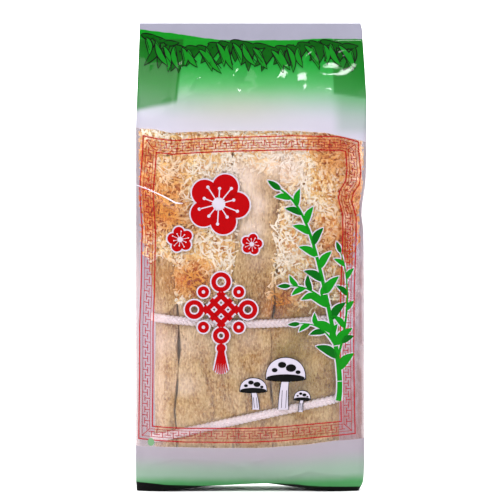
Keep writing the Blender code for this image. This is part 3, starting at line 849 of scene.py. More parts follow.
def side_line(table, share):
    """A point of the left or right edge, from the bottom at 0 to the top at 1."""
    rows = np.array(table, float)
    pixel_y = rows[0, 0] + share * (rows[-1, 0] - rows[0, 0])
    return np.stack(to_mm(np.interp(-pixel_y, -rows[:, 0], rows[:, 1]), pixel_y), axis=-1)


def level_line(table, share):
    """A point of the top or bottom edge, from the left at 0 to the right at 1."""
    rows = np.array(table, float)
    pixel_x = rows[0, 0] + share * (rows[-1, 0] - rows[0, 0])
    return np.stack(to_mm(pixel_x, np.interp(pixel_x, rows[:, 0], rows[:, 1])), axis=-1)


def frame_place(a, b):
    """A place in the frame, a from left to right and b from bottom to top, between its edges:
    P = (1-a) L(b) + a R(b) + (1-b) B(a) + b T(a) - the same blend of the four corners."""
    a, b = np.broadcast_arrays(np.asarray(a, float), np.asarray(b, float))
    blend = lambda share, first, second: (1 - share)[..., None] * first + share[..., None] * second
    sides = blend(a, side_line(FRAME_LEFT, b), side_line(FRAME_RIGHT, b))
    levels = blend(b, level_line(FRAME_BOTTOM, a), level_line(FRAME_TOP, a))
    zero, one = np.zeros_like(b), np.ones_like(b)
    low = blend(a, side_line(FRAME_LEFT, zero), side_line(FRAME_RIGHT, zero))
    high = blend(a, side_line(FRAME_LEFT, one), side_line(FRAME_RIGHT, one))
    return sides + levels - blend(b, low, high)


def frame_side(side, along, inset):
    """A place on one side of the frame, in mm along it and in from its outer edge."""
    a, b = along / FRAME_WIDTH, inset / FRAME_HEIGHT
    if side == "bottom":
        return frame_place(a, b)
    if side == "top":
        return frame_place(a, 1 - b)
    a, b = inset / FRAME_WIDTH, along / FRAME_HEIGHT
    return frame_place(a if side == "left" else 1 - a, b)


print("frame's corner:", np.round(frame_place(0, 0), 1), "mm")

# %% [markdown]
# ## Drawing the fret
#
# The same loop draws all four sides, in mm along each side and in from its outer edge. Four lines
# come first, then the Ts, each a foot and a bar, and last a short stroke across each corner.

# %% Draw the fret
fret = Motif("fret_border", "fret_red", paint(168, 10, 26), 0.30)
for side in ("bottom", "top", "left", "right"):
    length = FRAME_WIDTH if side in ("bottom", "top") else FRAME_HEIGHT
    for inset, width in ((OUTER, HEAVY), (OUTER_FINE, FINE), (INNER_FINE, FINE), (INNER, HEAVY)):
        along = np.linspace(inset - width / 2, length - inset + width / 2, int(length / 1.4))
        edges = [frame_side(side, along, np.full(len(along), inset + k * width / 2)) for k in (-1, 0, 1)]
        fret.patch(np.stack(edges, axis=1))
    pairs = round((length - 2 * CORNER_ROOM) / PITCH)
    pitch = (length - 2 * CORNER_ROOM) / pairs
    for k in range(2 * pairs):
        middle = CORNER_ROOM + pitch * (k + 0.5) / 2
        foot, bar = (OUTER_FINE, 5.3) if k % 2 == 0 else (INNER_FINE, 3.75)
        for half, low, high in ((0.24, foot, bar), (2.05, bar - 0.24, bar + 0.24)):
            along = middle + np.linspace(-half, half, 5)
            depth = np.linspace(low, high, 4)
            fret.patch(frame_side(side, *np.meshgrid(along, depth)))
for corner_a, corner_b in itertools.product((0, 1), (0, 1)):
    inset = np.linspace(OUTER_FINE, INNER_FINE, 6)
    a = np.abs(corner_a - inset / FRAME_WIDTH)
    b = np.abs(corner_b - inset / FRAME_HEIGHT)
    fret.stroke(frame_place(a, b), 0.5)
fret.print()

# %% [markdown]
# ## The printed motifs
#
# The ornaments are plain traditional ones in the print's red, green, black and white: a plum
# blossom, a knot with a tassel, a leafy branch, a group of mushrooms and, on the green band, a
# hanging row of leaves. Each is drawn twice: a larger copy in white, then the ink on top.

# %% Blossom and knot
def both(name, ink_name, colour, draw, rim=0.9, lift=0.33):
    """The white underprint of a motif and its ink, drawn by draw(motif, rim)."""
    white = Motif(name + "_rim", "white", WHITE, lift - 0.09)
    draw(white, rim)
    white.print()
    inked = Motif(name, ink_name, colour, lift)
    draw(inked, 0.0)
    inked.print()


def round_blossom(motif, centre, size, start, rim):
    """Five round petals about a centre."""
    for k in range(5):
        turn = start + k * 2 * math.pi / 5
        spot = (centre[0] + 0.56 * size * math.cos(turn), centre[1] + 0.56 * size * math.sin(turn))
        motif.disc(spot, 0.40 * size + rim)


BLOSSOMS = (((-20.5, 183.0), 20.5, 1.2), ((-45.0, 160.5), 8.5, 0.5), ((0.5, 157.5), 7.0, 0.1))
both("blossoms", "red", RED, lambda motif, rim: [round_blossom(motif, *b, rim) for b in BLOSSOMS])
hearts = Motif("blossom_hearts", "white", WHITE, 0.40)
for centre, size, start in BLOSSOMS:
    hearts.disc(centre, 0.20 * size)
    for k in range(10):
        turn = start + (k + 0.5) * math.pi / 5
        run = np.array([math.cos(turn), math.sin(turn)])
        reach = 0.62 if k % 2 else 0.48
        root, tip = (np.array(centre) + run * size * share for share in (0.14, reach))
        hearts.stroke([root, tip], 0.035 * size)
        hearts.disc(tip, 0.05 * size)
hearts.print()


def knot(motif, rim):
    """A knot of three cords by three, with a loop at each corner and a tassel below."""
    centre = np.array([-19.0, 116.0])
    up, down = np.array([1, 1]) / math.sqrt(2), np.array([1, -1]) / math.sqrt(2)
    for shift in (-6.2, 0, 6.2):
        for run, aside in ((up, down), (down, up)):
            middle = centre + aside * shift
            motif.stroke([middle - run * 9.0, middle + run * 9.0], 3.1 + 2 * rim)
    for place, reach in (((0, 17.5), 6.2), ((-17, 0), 6.0), ((17, 0), 6.0), ((0, -16.5), 5.2)):
        middle = centre + place
        motif.disc(middle, reach + rim, inner=(reach - 2.9 - rim) / (reach + rim))
    for side in (-1, 1):
        for end in (-1, 1):
            motif.disc(centre + (side * 11.2, end * 11.2), 3.6 + rim, inner=max(1.1 - rim, 0.2) / (3.6 + rim))
    motif.disc(centre + (0, -24.5), 2.9 + rim)
    for k in range(-3, 4):
        fall = [centre + (0.5 * k, -26), centre + (0.95 * k, -33), centre + (1.35 * k, -41 + 0.25 * k * k)]
        motif.stroke(fall, [0.8 + 2 * rim, 1.0 + 2 * rim, 0.9 + 2 * rim])


both("tassel_knot", "red", RED, knot)

# %% [markdown]
# ## Leafy branch
#
# A stalk is a smooth curve through a few places, and its leaves stand on it in turn, left and
# right, smaller towards the tip. Some leaves have a deeper green, as if they lay in the shade.
# Four short white lines cross the thick stalk, one at each joint.

# %% Leafy branch
def curve(points, count=40):
    """A smooth line through a few places: each coordinate is a polynomial along it."""
    points = np.array(points, float)
    share = np.linspace(0, 1, len(points))
    fine = np.linspace(0, 1, count)
    fits = [np.polyfit(share, points[:, k], len(points) - 1) for k in (0, 1)]
    return np.column_stack([np.polyval(fit, fine) for fit in fits])


# line, thickness at its foot, number of leaves, their length and width, in mm
STALKS = (
    (curve([(55.5, 58), (54, 92), (46, 132), (36, 168), (19, 192)]), 3.4, 17, 15.5, 5.6),
    (curve([(54.5, 84), (60, 108), (61, 132), (57, 152)]), 1.7, 7, 11.0, 3.9),
    (curve([(50, 118), (38, 128), (25, 131)]), 1.5, 6, 11.5, 4.1),
    (curve([(54, 92), (44, 104), (31, 107)]), 1.4, 5, 10.5, 3.8),
)


def branch(motif, rim, shade=None):
    """The stalks and their leaves. With a shade of 0 or 1, only the leaves of that green."""
    for n, (line, thick, leaves, length, width) in enumerate(STALKS):
        if shade != 1:
            motif.stroke(line, np.linspace(thick, thick * 0.35, len(line)) + 2 * rim)
        run = np.gradient(line, axis=0)
        run /= np.linalg.norm(run, axis=1)[:, None]
        for k in range(leaves):
            if shade is not None and (k + n) % 3 % 2 != shade:
                continue
            at = int((0.16 + 0.84 * k / (leaves - 1)) * (len(line) - 1))
            side = 0 if k == leaves - 1 else (1 if k % 2 else -1)
            turn = side * (0.95 - 0.25 * k / leaves)
            spin = np.array([[math.cos(turn), -math.sin(turn)], [math.sin(turn), math.cos(turn)]])
            size = length * (1.05 - 0.4 * k / leaves)
            tip = line[at] + spin @ run[at] * size
            tip[0] = min(tip[0], 65.5)
            motif.leaf(line[at], tip, width * size / length, 0.10 * side, rim)


white = Motif("leafy_branch_rim", "white", WHITE, 0.24)
branch(white, 0.8)
white.print()
for shade, (name, colour) in enumerate((("leafy_branch", LEAF), ("leafy_branch_shade", DEEP_LEAF))):
    greens = Motif(name, f"green_{shade}", colour, 0.33)
    branch(greens, 0, shade)
    greens.print()
veins = Motif("branch_veins", "white", WHITE, 0.40)
line, thick = STALKS[0][:2]
for share in (0.10, 0.27, 0.45, 0.62):
    k = int(share * len(line))
    run = line[k + 1] - line[k]
    side = np.array([-run[1], run[0]]) / np.linalg.norm(run)
    veins.stroke([line[k] - side * thick * 0.5, line[k] + side * thick * 0.5], 0.45)
veins.print()

# %% [markdown]
# ## Mushrooms
#
# A mushroom is drawn three times: all black and a little larger, then its stalk and its cap in
# white, a little smaller, which leaves a black outline, and last the black spots and lines.

# %% Mushrooms
MUSHROOMS = (
    # foot, height, half width of the cap and lean, in mm
    ((20.5, 52.5), 33.0, 12.5, 1.5), ((3.0, 52.5), 20.0, 8.5, -1.5), ((31.5, 51.0), 13.5, 5.2, 1.0),
)


def mushroom_shapes(motif, rim, part):
    """The stalks, the caps or both: a tapering stroke, and a dome between two curved lines."""
    for (x, z), height, cap, lean in MUSHROOMS:
        top = np.array([x + lean, z + height * 0.60])
        if part in ("stalk", "all"):
            stalk = curve([(x, z), (x + lean * 0.2, z + height * 0.3), top])
            motif.stroke(stalk, np.linspace(0.52, 0.34, 40) * cap + 2 * rim)
        if part in ("cap", "all"):
            turn = np.linspace(0, math.pi, 31)
            dome = top[1] - rim + (height * 0.40 + 2 * rim) * np.sin(turn) ** 0.8
            upper = np.column_stack([top[0] + (cap + rim) * np.cos(turn), dome])
            lower = np.column_stack([upper[:, 0], top[1] - rim - 0.14 * cap * np.sin(turn)])
            share = np.linspace(0, 1, 12)[:, None, None]
            motif.patch(lower[None] * (1 - share) + upper[None] * share)


outline = Motif("mushrooms", "black", BLACK, 0.27)
mushroom_shapes(outline, 0.45, "all")
outline.print()
pale = Motif("mushroom_fill", "white", WHITE, 0.34)
mushroom_shapes(pale, -0.05, "stalk")
mushroom_shapes(pale, -0.1, "cap")
pale.print()
marks = Motif("mushroom_marks", "black", BLACK, 0.41)
for (x, z), height, cap, lean in MUSHROOMS:
    top = np.array([x + lean, z + height * 0.60])
    marks.disc(top + (0, 0.2), cap * 0.97, squash=0.20)
    for share, rise, size in ((-0.62, 0.16, 0.15), (-0.2, 0.26, 0.21), (0.3, 0.2, 0.26), (0.7, 0.12, 0.13)):
        marks.disc(top + (share * cap * 0.9, height * rise), size * cap, squash=0.75)
    for share in (-0.1, 0.12):
        base = np.array([x + share * cap, z + 1])
        marks.stroke([base, base + (lean * 0.4, height * 0.34)], 0.35)
marks.print()

# %% [markdown]
# ## Hanging leaves
#
# The green band has two rows of leaves, further ones in deep green and nearer ones in a paler
# green, each with a black rim under it. They hang from one wavy line and slant two ways, so the
# rows cross. Numbers from the lattice vary their lengths, so no two are alike, yet each run of
# the script draws the same ones. A painted highlight along a crease of the film and a small oval
# mark end the film's prints.

# %% Hanging leaves
def garland(part, motif):
    """Leaves that hang from a line across the green band, nearer and further ones in turn."""
    near = "near" in part
    rim = 0.75 if "rim" in part else 0.0
    top_line = lambda x: 285.8 - 2.0 * math.sin(x / 9) + 4.0 * float(ease(-(x + 45) / 25))
    for k in range(25):
        chance = [float(lattice(np.array([[k, n]]), 5 + near)[0]) for n in range(4)]
        x = -70.5 + (k + (0.5 if near else 0.0) + 0.5 * (chance[3] - 0.5)) * 5.7
        high = top_line(x) - 3.0 * near * chance[0]
        slope = 0.15 + 0.75 * chance[1] if near else -0.2 - 0.8 * chance[1]
        length = 11.0 + 6.5 * chance[2]
        tip = (x + slope * length * 0.7, high - length)
        if abs(tip[0]) > 69.0 or x > 70:
            continue
        motif.leaf((x, high), tip, 3.3 if near else 4.2, 0.10 if k % 2 else -0.10, rim)
        if part == "near":
            bend = (x + 0.3 * (tip[0] - x), high - 0.3 * length)
            vein_lines.append([(x, high - 1), bend, (tip[0], tip[1] + 3)])
    for k in range(0 if near else 19):
        x = -70.5 + 7.2 * k
        motif.leaf((x, top_line(x) + 0.6), (x + 9.5, top_line(x) - (2.2 if k % 2 else 0.2)), 3.0, 0.08, rim)


vein_lines = []
for part, name, colour, lift in (
    ("far_rim", "black", BLACK, 0.22), ("far", "garland_green", paint(0, 78, 4), 0.28),
    ("near_rim", "black", BLACK, 0.33), ("near", "garland_pale", paint(10, 118, 22), 0.38),
):
    leaves = Motif("garland_" + part, name, colour, lift)
    garland(part, leaves)
    leaves.print()
twig = Motif("garland_veins", "black", BLACK, 0.43)
for line in vein_lines:
    twig.stroke(line, 0.42)
twig.print()
# a painted highlight: a thin white stroke along the crease at the left, where the film shines
crease = Motif("painted_crease_glint", "crease_glint_white", paint(232, 226, 238), 0.42)
crease_glint_line = ((-73.2, 195.4), (-64.2, 191.9), (-55.9, 188.1), (-47.7, 183.7), (-43.2, 183.4))
crease.stroke(crease_glint_line, (0.4, 0.5, 0.7, 0.9, 0.3))
crease.print()
mark = Motif("print_mark", "mark_green", paint(112, 152, 112), 0.33)
mark.disc((-63.6, 31.8), 2.1, squash=1.2)
mark.print()

# %% [markdown]
# ## The bundle's cells
#
# Twelve fungi fill the pack in three rows of four. Each fills a cell of the bundle: upright
# neighbours share a wavy line, the bundle opens above its upper tie, and each cord presses a
# groove into the front. These are the frame's own lines, so the fine fungi keep its form. The
# rooms are small distances that keep fungi and nets behind the film, and a cord off the bundle.

# %% Bundle formulas
COLUMNS = {
    "front": (-0.0620, -0.0470, -0.0110, 0.0135, 0.0570),
    "middle": (-0.0620, -0.0320, -0.0020, 0.0270, 0.0570),
    "back": (-0.0620, -0.0350, -0.0040, 0.0260, 0.0570),
}
HEMS = {
    "front": (0.146, 0.119, 0.204, 0.118),
    "middle": (0.130, 0.138, 0.126, 0.140),
    "back": (0.128, 0.140, 0.134, 0.122),
}
ROWS = {"front": 0, "middle": 1, "back": 2}
HALF_BUNDLE, PUFF, ROW_EDGE, GAP = 0.0186, 0.0024, 0.0062, 0.00035
TIED_LEFT, TIED_RIGHT, OPEN_HALF = -0.0620, 0.0570, 0.0715
TIED_MIDDLE, TIED_HALF = -0.0025, 0.0595
FUNGUS_FOOT, FUNGUS_CROWN = 0.0095, 0.2390
CORD_REACH = 0.0062
FUNGUS_ROOM, LACE_ROOM, CORD_ROOM = 0.0009, 0.0007, 0.0008
KNOTS = {"upper_tie": 0.011, "lower_tie": -0.019}
CORNER = 0.012


def spread_x(x, z):
    """A place across the tied bundle, moved out as the bundle opens above its upper tie."""
    share = (x - TIED_LEFT) / (TIED_RIGHT - TIED_LEFT)
    return x + ease((z - 0.104) / 0.101) * (OPEN_HALF * (2 * share - 1) - x)


def tie_height(name, x):
    """The upper tie is a shallow parabola, 4 mm higher at its ends. The lower one slopes up."""
    if name == "upper_tie":
        return 0.1068 + 0.0040 * ((x - TIED_MIDDLE) / TIED_HALF) ** 2
    return 0.0466 + 0.218 * (x - TIED_MIDDLE)


def tie_distance(x, z):
    """How far a place is above or below the nearer tie."""
    return np.minimum(*[np.abs(z - tie_height(name, x)) for name in KNOTS])


def bundle_depth(x, z):
    """Half the bundle's depth: least at the ties, and PUFF more away from them."""
    return HALF_BUNDLE + PUFF * ease(tie_distance(x, z) / 0.022)


def cell_sides(row, column, z):
    """Left, right, front and back of a fungus's cell at its heights."""
    sides = []
    for edge in (column, column + 1):
        wave = 0.0011 * np.sin(2 * math.pi * z / 0.105 + 2.1 * edge + ROWS[row])
        sides.append(spread_x(COLUMNS[row][edge], z) + (wave if 0 < edge < 4 else 0))
    depth = bundle_depth((sides[0] + sides[1]) / 2, z)
    lines = (-depth, 0 * z - ROW_EDGE, 0 * z + ROW_EDGE, depth)
    return sides[0] + GAP, sides[1] - GAP, lines[ROWS[row]] + GAP, lines[ROWS[row] + 1] - GAP


def held(row, x, y, z):
    """The points pressed in where the cords, the film or a knot need the room."""
    groove = 0.0033 * ease(1 - tie_distance(x, z) / CORD_REACH)
    left, right = spread_x(TIED_LEFT, z), spread_x(TIED_RIGHT, z)
    half, middle = (right - left) / 2, (right + left) / 2
    past = np.clip(np.abs(x - middle) - (half - CORNER), 0, CORNER)
    reach = bundle_depth(x, z) - CORNER + np.sqrt(CORNER**2 - past**2) - groove
    if row == "front":
        y = np.maximum(y, -reach)
        y = np.maximum(y, film_front(x, z) + FUNGUS_ROOM)
    if row == "back":
        y = np.minimum(y, np.minimum(reach, half_depth(z) - 0.002))
        for name, place in KNOTS.items():
            away = np.hypot(x - place, (z - tie_height(name, place) + 0.007) * 0.7) / 0.0145
            y = np.minimum(y, 0.0112 + 0.0098 * ease(away - 0.35))
    crease = crease_depth(z)
    fold = fold_depth(z) * np.clip(1 - np.abs(y) / crease, 0, 1)
    left, right = from_table(LEFT_EDGE, z) + fold + 0.0008, from_table(RIGHT_EDGE, z) - fold - 0.0008
    return np.clip(x, left, right), y

# %% [markdown]
# ## The fungi's skin
#
# A dried stem is a collapsed sponge: long furrows where it folded, fibres along it and round
# pores where its chambers show. A dried skirt is a net, crumpled into lumps and curls. Both are
# heights below the cell's outline. The lower a point lies, the browner it is: partly the fungi's
# own colour, cream outside and brown in their hollows, and partly painted shade in the hollows.

# %% Fungus skin
def stem_grain(w, z, seed):
    """The bent place on a stem's skin, and the streaks that its fibres draw there, about -1 to 1."""
    place = np.stack([w, z], -1)
    bend = 2.6 * soft_noise(place / (15, 26), seed) + 0.9 * soft_noise(place / (5, 9), seed + 12)
    streak = lambda width, length, k: soft_noise(np.stack([(w + bend) / width, z / length], -1), seed + k)
    return w + bend, 0.35 * streak(2.2, 17, 20) + 0.55 * streak(1.0, 8, 21) + 0.5 * streak(0.7, 3.2, 22)


def stem_hollow(w, z, seed):
    """How far a stem's skin lies in, in mm, at w mm round it and z mm up it: furrows, pits and swells.

    Furrows are ridged noise drawn out along the stem, with more of them above the upper tie. Pits
    are scattered points of two sizes, in zones.
    """
    place = np.stack([w, z], -1)
    bent, grain = stem_grain(w, z, seed)
    lines = lambda width, length, k: np.clip(ridges(np.stack([bent / width, z / length], -1), seed + k), 0, 1)
    patchy = lambda size, k: ease(0.5 + 1.3 * soft_noise(place / size, seed + k))
    pleated = 0.45 + 1.0 * ease((z - 128) / 34)
    furrows = 1.2 * lines(8.5, 60, 1) ** 5 * patchy((12, 30), 13)
    furrows = furrows + pleated * lines(3.6, 26, 2) ** 4 * patchy((9, 20), 14)
    furrows = furrows + (pleated - 0.45) * 0.9 * lines(6.0, 21, 3) ** 3
    away, owner = pores(np.stack([bent / 2.9, z / 3.2], -1), seed + 4)
    zone = ease(0.45 + 1.2 * soft_noise(place / (9, 17), seed + 7))
    pits = 1.3 * ease(1 - away / (0.16 + 0.24 * owner)) * (owner > 0.25) * zone
    small, few = pores(np.stack([bent / 1.3, z / 1.5], -1), seed + 11)
    pits = pits + 0.4 * ease(1 - small / 0.36) * (few > 0.72) * patchy((14, 16), 16)
    sponge = 0.30 * soft_noise(place / (0.9, 1.4), seed + 8)
    sponge = sponge + 0.30 * soft_noise(place / (2.1, 3.2), seed + 18)
    swell = 1.1 * soft_noise(np.stack([bent / 5.5, z / 34], -1), seed + 9)
    swell = swell + 0.5 * soft_noise(place / (7, 12), seed + 17)
    return np.clip(1.0 + furrows - 0.24 * grain + pits + sponge + swell, 0, None)


def skirt_hollow(w, z, seed):
    """The same for a skirt: overlapping flaps, folds and curls, each a ridge with a hollow beside it."""
    place = np.stack([w, z], -1)
    bent = place + (drift(place / 8, seed) * 4.5 + drift(place / 3, seed + 2) * 1.6)
    curl = lambda size, k: 1 - np.clip(ridges(bent / size, seed + k), 0, 1) ** 1.4
    lift = 1.6 * soft_noise(place / (15, 18), seed + 4) + 0.35 * soft_noise(bent / 4, seed + 8) + 4
    saw = lift - np.floor(lift)
    flaps = 1.7 * np.where(saw < 0.9, saw / 0.9, (1 - saw) / 0.1) ** 1.3
    return 0.1 + flaps + 0.8 * curl(5.0, 5) + 1.1 * curl(2.7, 6) + 0.9 * curl(1.4, 7)


print("skirt's hollow:", round(float(skirt_hollow(np.zeros(1), np.zeros(1), 1)[0]), 1), "mm")

# %% [markdown]
# ## Paler and browner regions
#
# Whole regions of dried fungus are paler or browner than the rest: partly the fungi's own tone,
# as one stem dried longer, partly painted highlight where the film shines over them and painted
# shadow where they lie deeper. A few soft bumps, each with a place, a reach and a strength, are
# enough for this, and one more field says where the fungi are a duller olive.

# %% Tone of the fungi
# x, z and reach in mm, and tone, of broad soft patches: over 0 is paler, with painted highlight, under 0 is
# browner, with painted shadow
TONE_AND_LIGHT_PATCHES = (
    (-42, 208, 12, -0.7), (-50, 190, 9, -0.6), (-45, 168, 12, -0.7), (-36, 209, 9, 0.6), (-12, 200, 14, 0.9),
    (24, 206, 15, 1.0), (22, 189, 3.5, -1.6), (15, 118, 12, -0.9), (-33, 133, 11, -0.8), (-55, 134, 11, -0.4),
    (26, 150, 11, 0.5), (-62, 180, 9, -0.8), (55, 205, 10, -0.2), (-2, 165, 8, 0.5), (42, 166, 15, -0.25),
    (-42, 66, 7, 0.5), (62, 156, 15, -1.1), (50, 217, 15, -0.8), (-30, 224, 14, -0.3), (-68, 214, 9, -0.8),
    (-68, 192, 9, -0.9), (-68, 168, 9, -0.7), (65, 186, 11, -1.0), (-30, 190, 10, 0.5), (6, 182, 6, 0.5),
    (-3, 200, 9, 0.8), (-1, 184, 9, 0.9), (2, 166, 9, 0.8), (4, 148, 9, 0.4), (-57, 94, 9, 0.45),
    (-40, 94, 13, 0.5), (-4, 96, 10, 0.25), (-58, 40, 8, 0.1), (-44, 117, 7, 0.4), (-52, 176, 11, -0.5),
    (-40, 136, 12, -0.6), (22, 126, 13, -0.3),
)


def tone_and_light_at(x, z):
    """How pale the fungi are at a place: faint noise and the sum of the patches, each a soft bump, which
    paint highlight and shadow as well as tone.
    """
    x, z = x / MM, z / MM
    total = 0.16 * soft_noise(np.stack([x / 11, z / 14], -1), 91)
    for px, pz, reach, tone in TONE_AND_LIGHT_PATCHES:
        total = total + tone * np.exp(-((x - px) ** 2 + (z - pz) ** 2) / reach**2)
    return total


def olive_at(x, z):
    """Where the fungi are a duller olive: the wide stem at the right and the skirt just above it."""
    x, z = x / MM, z / MM
    blotch = 0.75 + 0.4 * soft_noise(np.stack([x / 7, z / 9], -1), 95)
    place = ease((x - 11) / 7) * (0.25 + 0.75 * ease((z - 44) / 24))
    place = place * (0.5 * ease((160 - z) / 34) + 0.5 * ease((124 - z) / 14))
    return np.clip(place * blotch, 0, 1)


print("tone at the middle:", round(float(tone_and_light_at(np.zeros(1), np.full(1, 0.1))[0]), 2))

# %% [markdown]
# ## One fungus
#
# A fungus is a sleeve: rings of points through its cell's section, pushed in by the hollows of
# its skin, with a dished end above and below. The front ones have most of their points on the
# side that shows. A front fungus also laps a little over its neighbours, as pressed ones do.

# %% One fungus
def walk_round(front, side, back):
    """Points round a square from -1 to 1, from the back's middle past the left side to the front."""
    run = lambda low, high, steps: np.linspace(low, high, steps, endpoint=False)
    half, level = back // 2, lambda value, steps: np.full(steps, value)
    along = [run(0, -1, half), level(-1.0, side), run(-1, 1, front), level(1.0, side), run(1, 0, half)]
    across = [level(1.0, half), run(1, -1, side), level(-1.0, front), run(-1, 1, side), level(1.0, half)]
    return np.concatenate(along), np.concatenate(across)


def lapped(column, left, right, near, z):
    """A front cell's sides moved out over its neighbours, and its front moved back by its own step."""
    slip = 0.0075 * ease((z - 0.044) / 0.034) * ease((0.116 - z) / 0.02)
    for edge in (column, column + 1):
        spots = np.stack([z / 0.013, np.full_like(z, edge * 3.7)], -1)
        lap = (0.0006 + 0.0013 * soft_noise(spots, 60 + column)) if 0 < edge < 4 else 0.0
        shift = -slip if edge == 2 else 0.0
        if edge == column:
            left = left - lap + shift
        else:
            right = right + lap + shift
    return left, right, near + (0.0, 0.0007, -0.0002, 0.0006)[column]


def fungus_hem(row, column, x, z):
    """The height where the skirt starts, in metres: a scalloped line, made ragged by noise."""
    phase = 1.7 * column + 2.3 * ROWS[row]
    ragged = soft_noise(np.stack([x / 0.006, z / 0.006], -1), 50 + column)
    return HEMS[row][column] + 0.0035 * np.sin(x / 0.0055 + phase) + 0.005 * ragged


def fungus(row, column, material, front, side, back, levels):
    """A closed sleeve of rings through the cell's section, with dished ends, and its facts."""
    phase = 1.7 * column + 2.3 * ROWS[row]
    seed = 100 * ROWS[row] + 20 * column + 10
    foot = FUNGUS_FOOT + 0.006 * (0.5 + 0.5 * math.sin(2.3 * phase))
    crown = FUNGUS_CROWN - 0.0035 * (0.5 + 0.5 * math.sin(1.9 * phase + 1))
    along, across = walk_round(front, side, back)
    power = 9 if row == "front" else 4
    round_off = (np.abs(along) ** power + np.abs(across) ** power) ** (-1 / power)
    along, across = along * round_off, across * round_off
    z = np.repeat(np.linspace(foot, crown, levels)[:, None], len(along), 1)
    left, right, near, far = cell_sides(row, column, z)
    if row == "front":
        left, right, near = lapped(column, left, right, near, z)
    half_x, half_y = (right - left) / 2, (far - near) / 2
    lean = np.stack([along**3 / half_x, across**3 / half_y], -1)
    lean /= np.linalg.norm(lean, axis=-1)[..., None]
    reach = np.minimum(z - foot, crown - z) / 0.006
    shrink = 0.55 + 0.45 * np.sqrt(1 - (1 - np.clip(reach, 0, 1)) ** 2)
    x = (left + right) / 2 + along * half_x * shrink
    y = (near + far) / 2 + across * half_y * shrink
    steps = np.hypot(np.diff(x, axis=1, prepend=x[:, -1:]), np.diff(y, axis=1, prepend=y[:, -1:]))
    w = np.cumsum(steps, 1)
    w = (w - w[:, w.shape[1] // 2, None]) / MM
    skirt = ease((z - fungus_hem(row, column, x, z)) / 0.004)
    stem, lace = stem_hollow(w, z / MM, seed), skirt_hollow(w, z / MM, seed + 50)
    seam = ease((w.max() - np.abs(w)) / 4)
    hollow = (stem + skirt * (lace - stem)) * seam
    if (row, column) == ("front", 0):
        # the stem at the left lies a little deeper below a slanting flap of its skirt, so it is also painted
        # browner there, as painted shade under the flap
        flap = ease((z / MM - 113 - 0.5 * np.clip(x / MM + 54, 0, 9) ** 1.3) / 1.2)
        hollow = hollow + 1.2 * (1 - flap) * ease((z / MM - 88) / 14)
    relief = hollow * (1 - 0.42 * skirt)
    x = x - lean[..., 0] * relief * 0.35 * MM
    y = y - lean[..., 1] * relief * MM
    x, y = held(row, x, y, z)
    points = np.stack([x, y, z], -1)
    count = len(along)
    faces = [tuple(face) for face in grid_faces(levels, count, wrap_columns=True)]
    total = levels * count
    faces += [((i + 1) % count, i, total) for i in range(count)]
    faces += [(total - count + i, total - count + (i + 1) % count, total + 1) for i in range(count)]
    ends = [points[0].mean(0) + [0, 0, 0.004], points[-1].mean(0) - [0, 0, 0.005]]
    # how brown each point is painted: the fungi's own browner hollows, and painted shade in them
    hollow_brown_and_shade = np.clip(hollow / (3.3 + 1.1 * skirt), 0, 1)
    _, grain = stem_grain(w, z / MM, seed)
    facts = {
        "hollow": np.append(hollow_brown_and_shade, [1, 1]), "skirt": np.append(skirt, [0, 0]),
        "tone": np.append(tone_and_light_at(x, z), [0, 0]), "olive": np.append(olive_at(x, z), [0, 0]),
        "grain": np.append(grain, [0, 0]),
    }
    points = np.vstack([points.reshape(-1, 3), ends])
    made = piece(f"{row}_fungus_fine_{column + 1}", points, faces, material, facts)
    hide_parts(f"{row}_fungus_{column + 1}")
    return made

# %% [markdown]
# ## The fungi's finish
#
# Dried fungus is matt and uneven. Its colour runs from cream outside to brown in the hollows, by
# the number that the skin's formula kept at each point, with flecks of noise so that no edge is
# sharp: partly the fungus's own colour and partly painted shade. A stem's fibres and the small
# pits of its sponge are finer than the mesh, so they are drawn by colour: pale and brown streaks,
# and cells of Voronoi noise, with painted shade at their middles.
# The broad patches then make whole regions paler, browner or more olive.

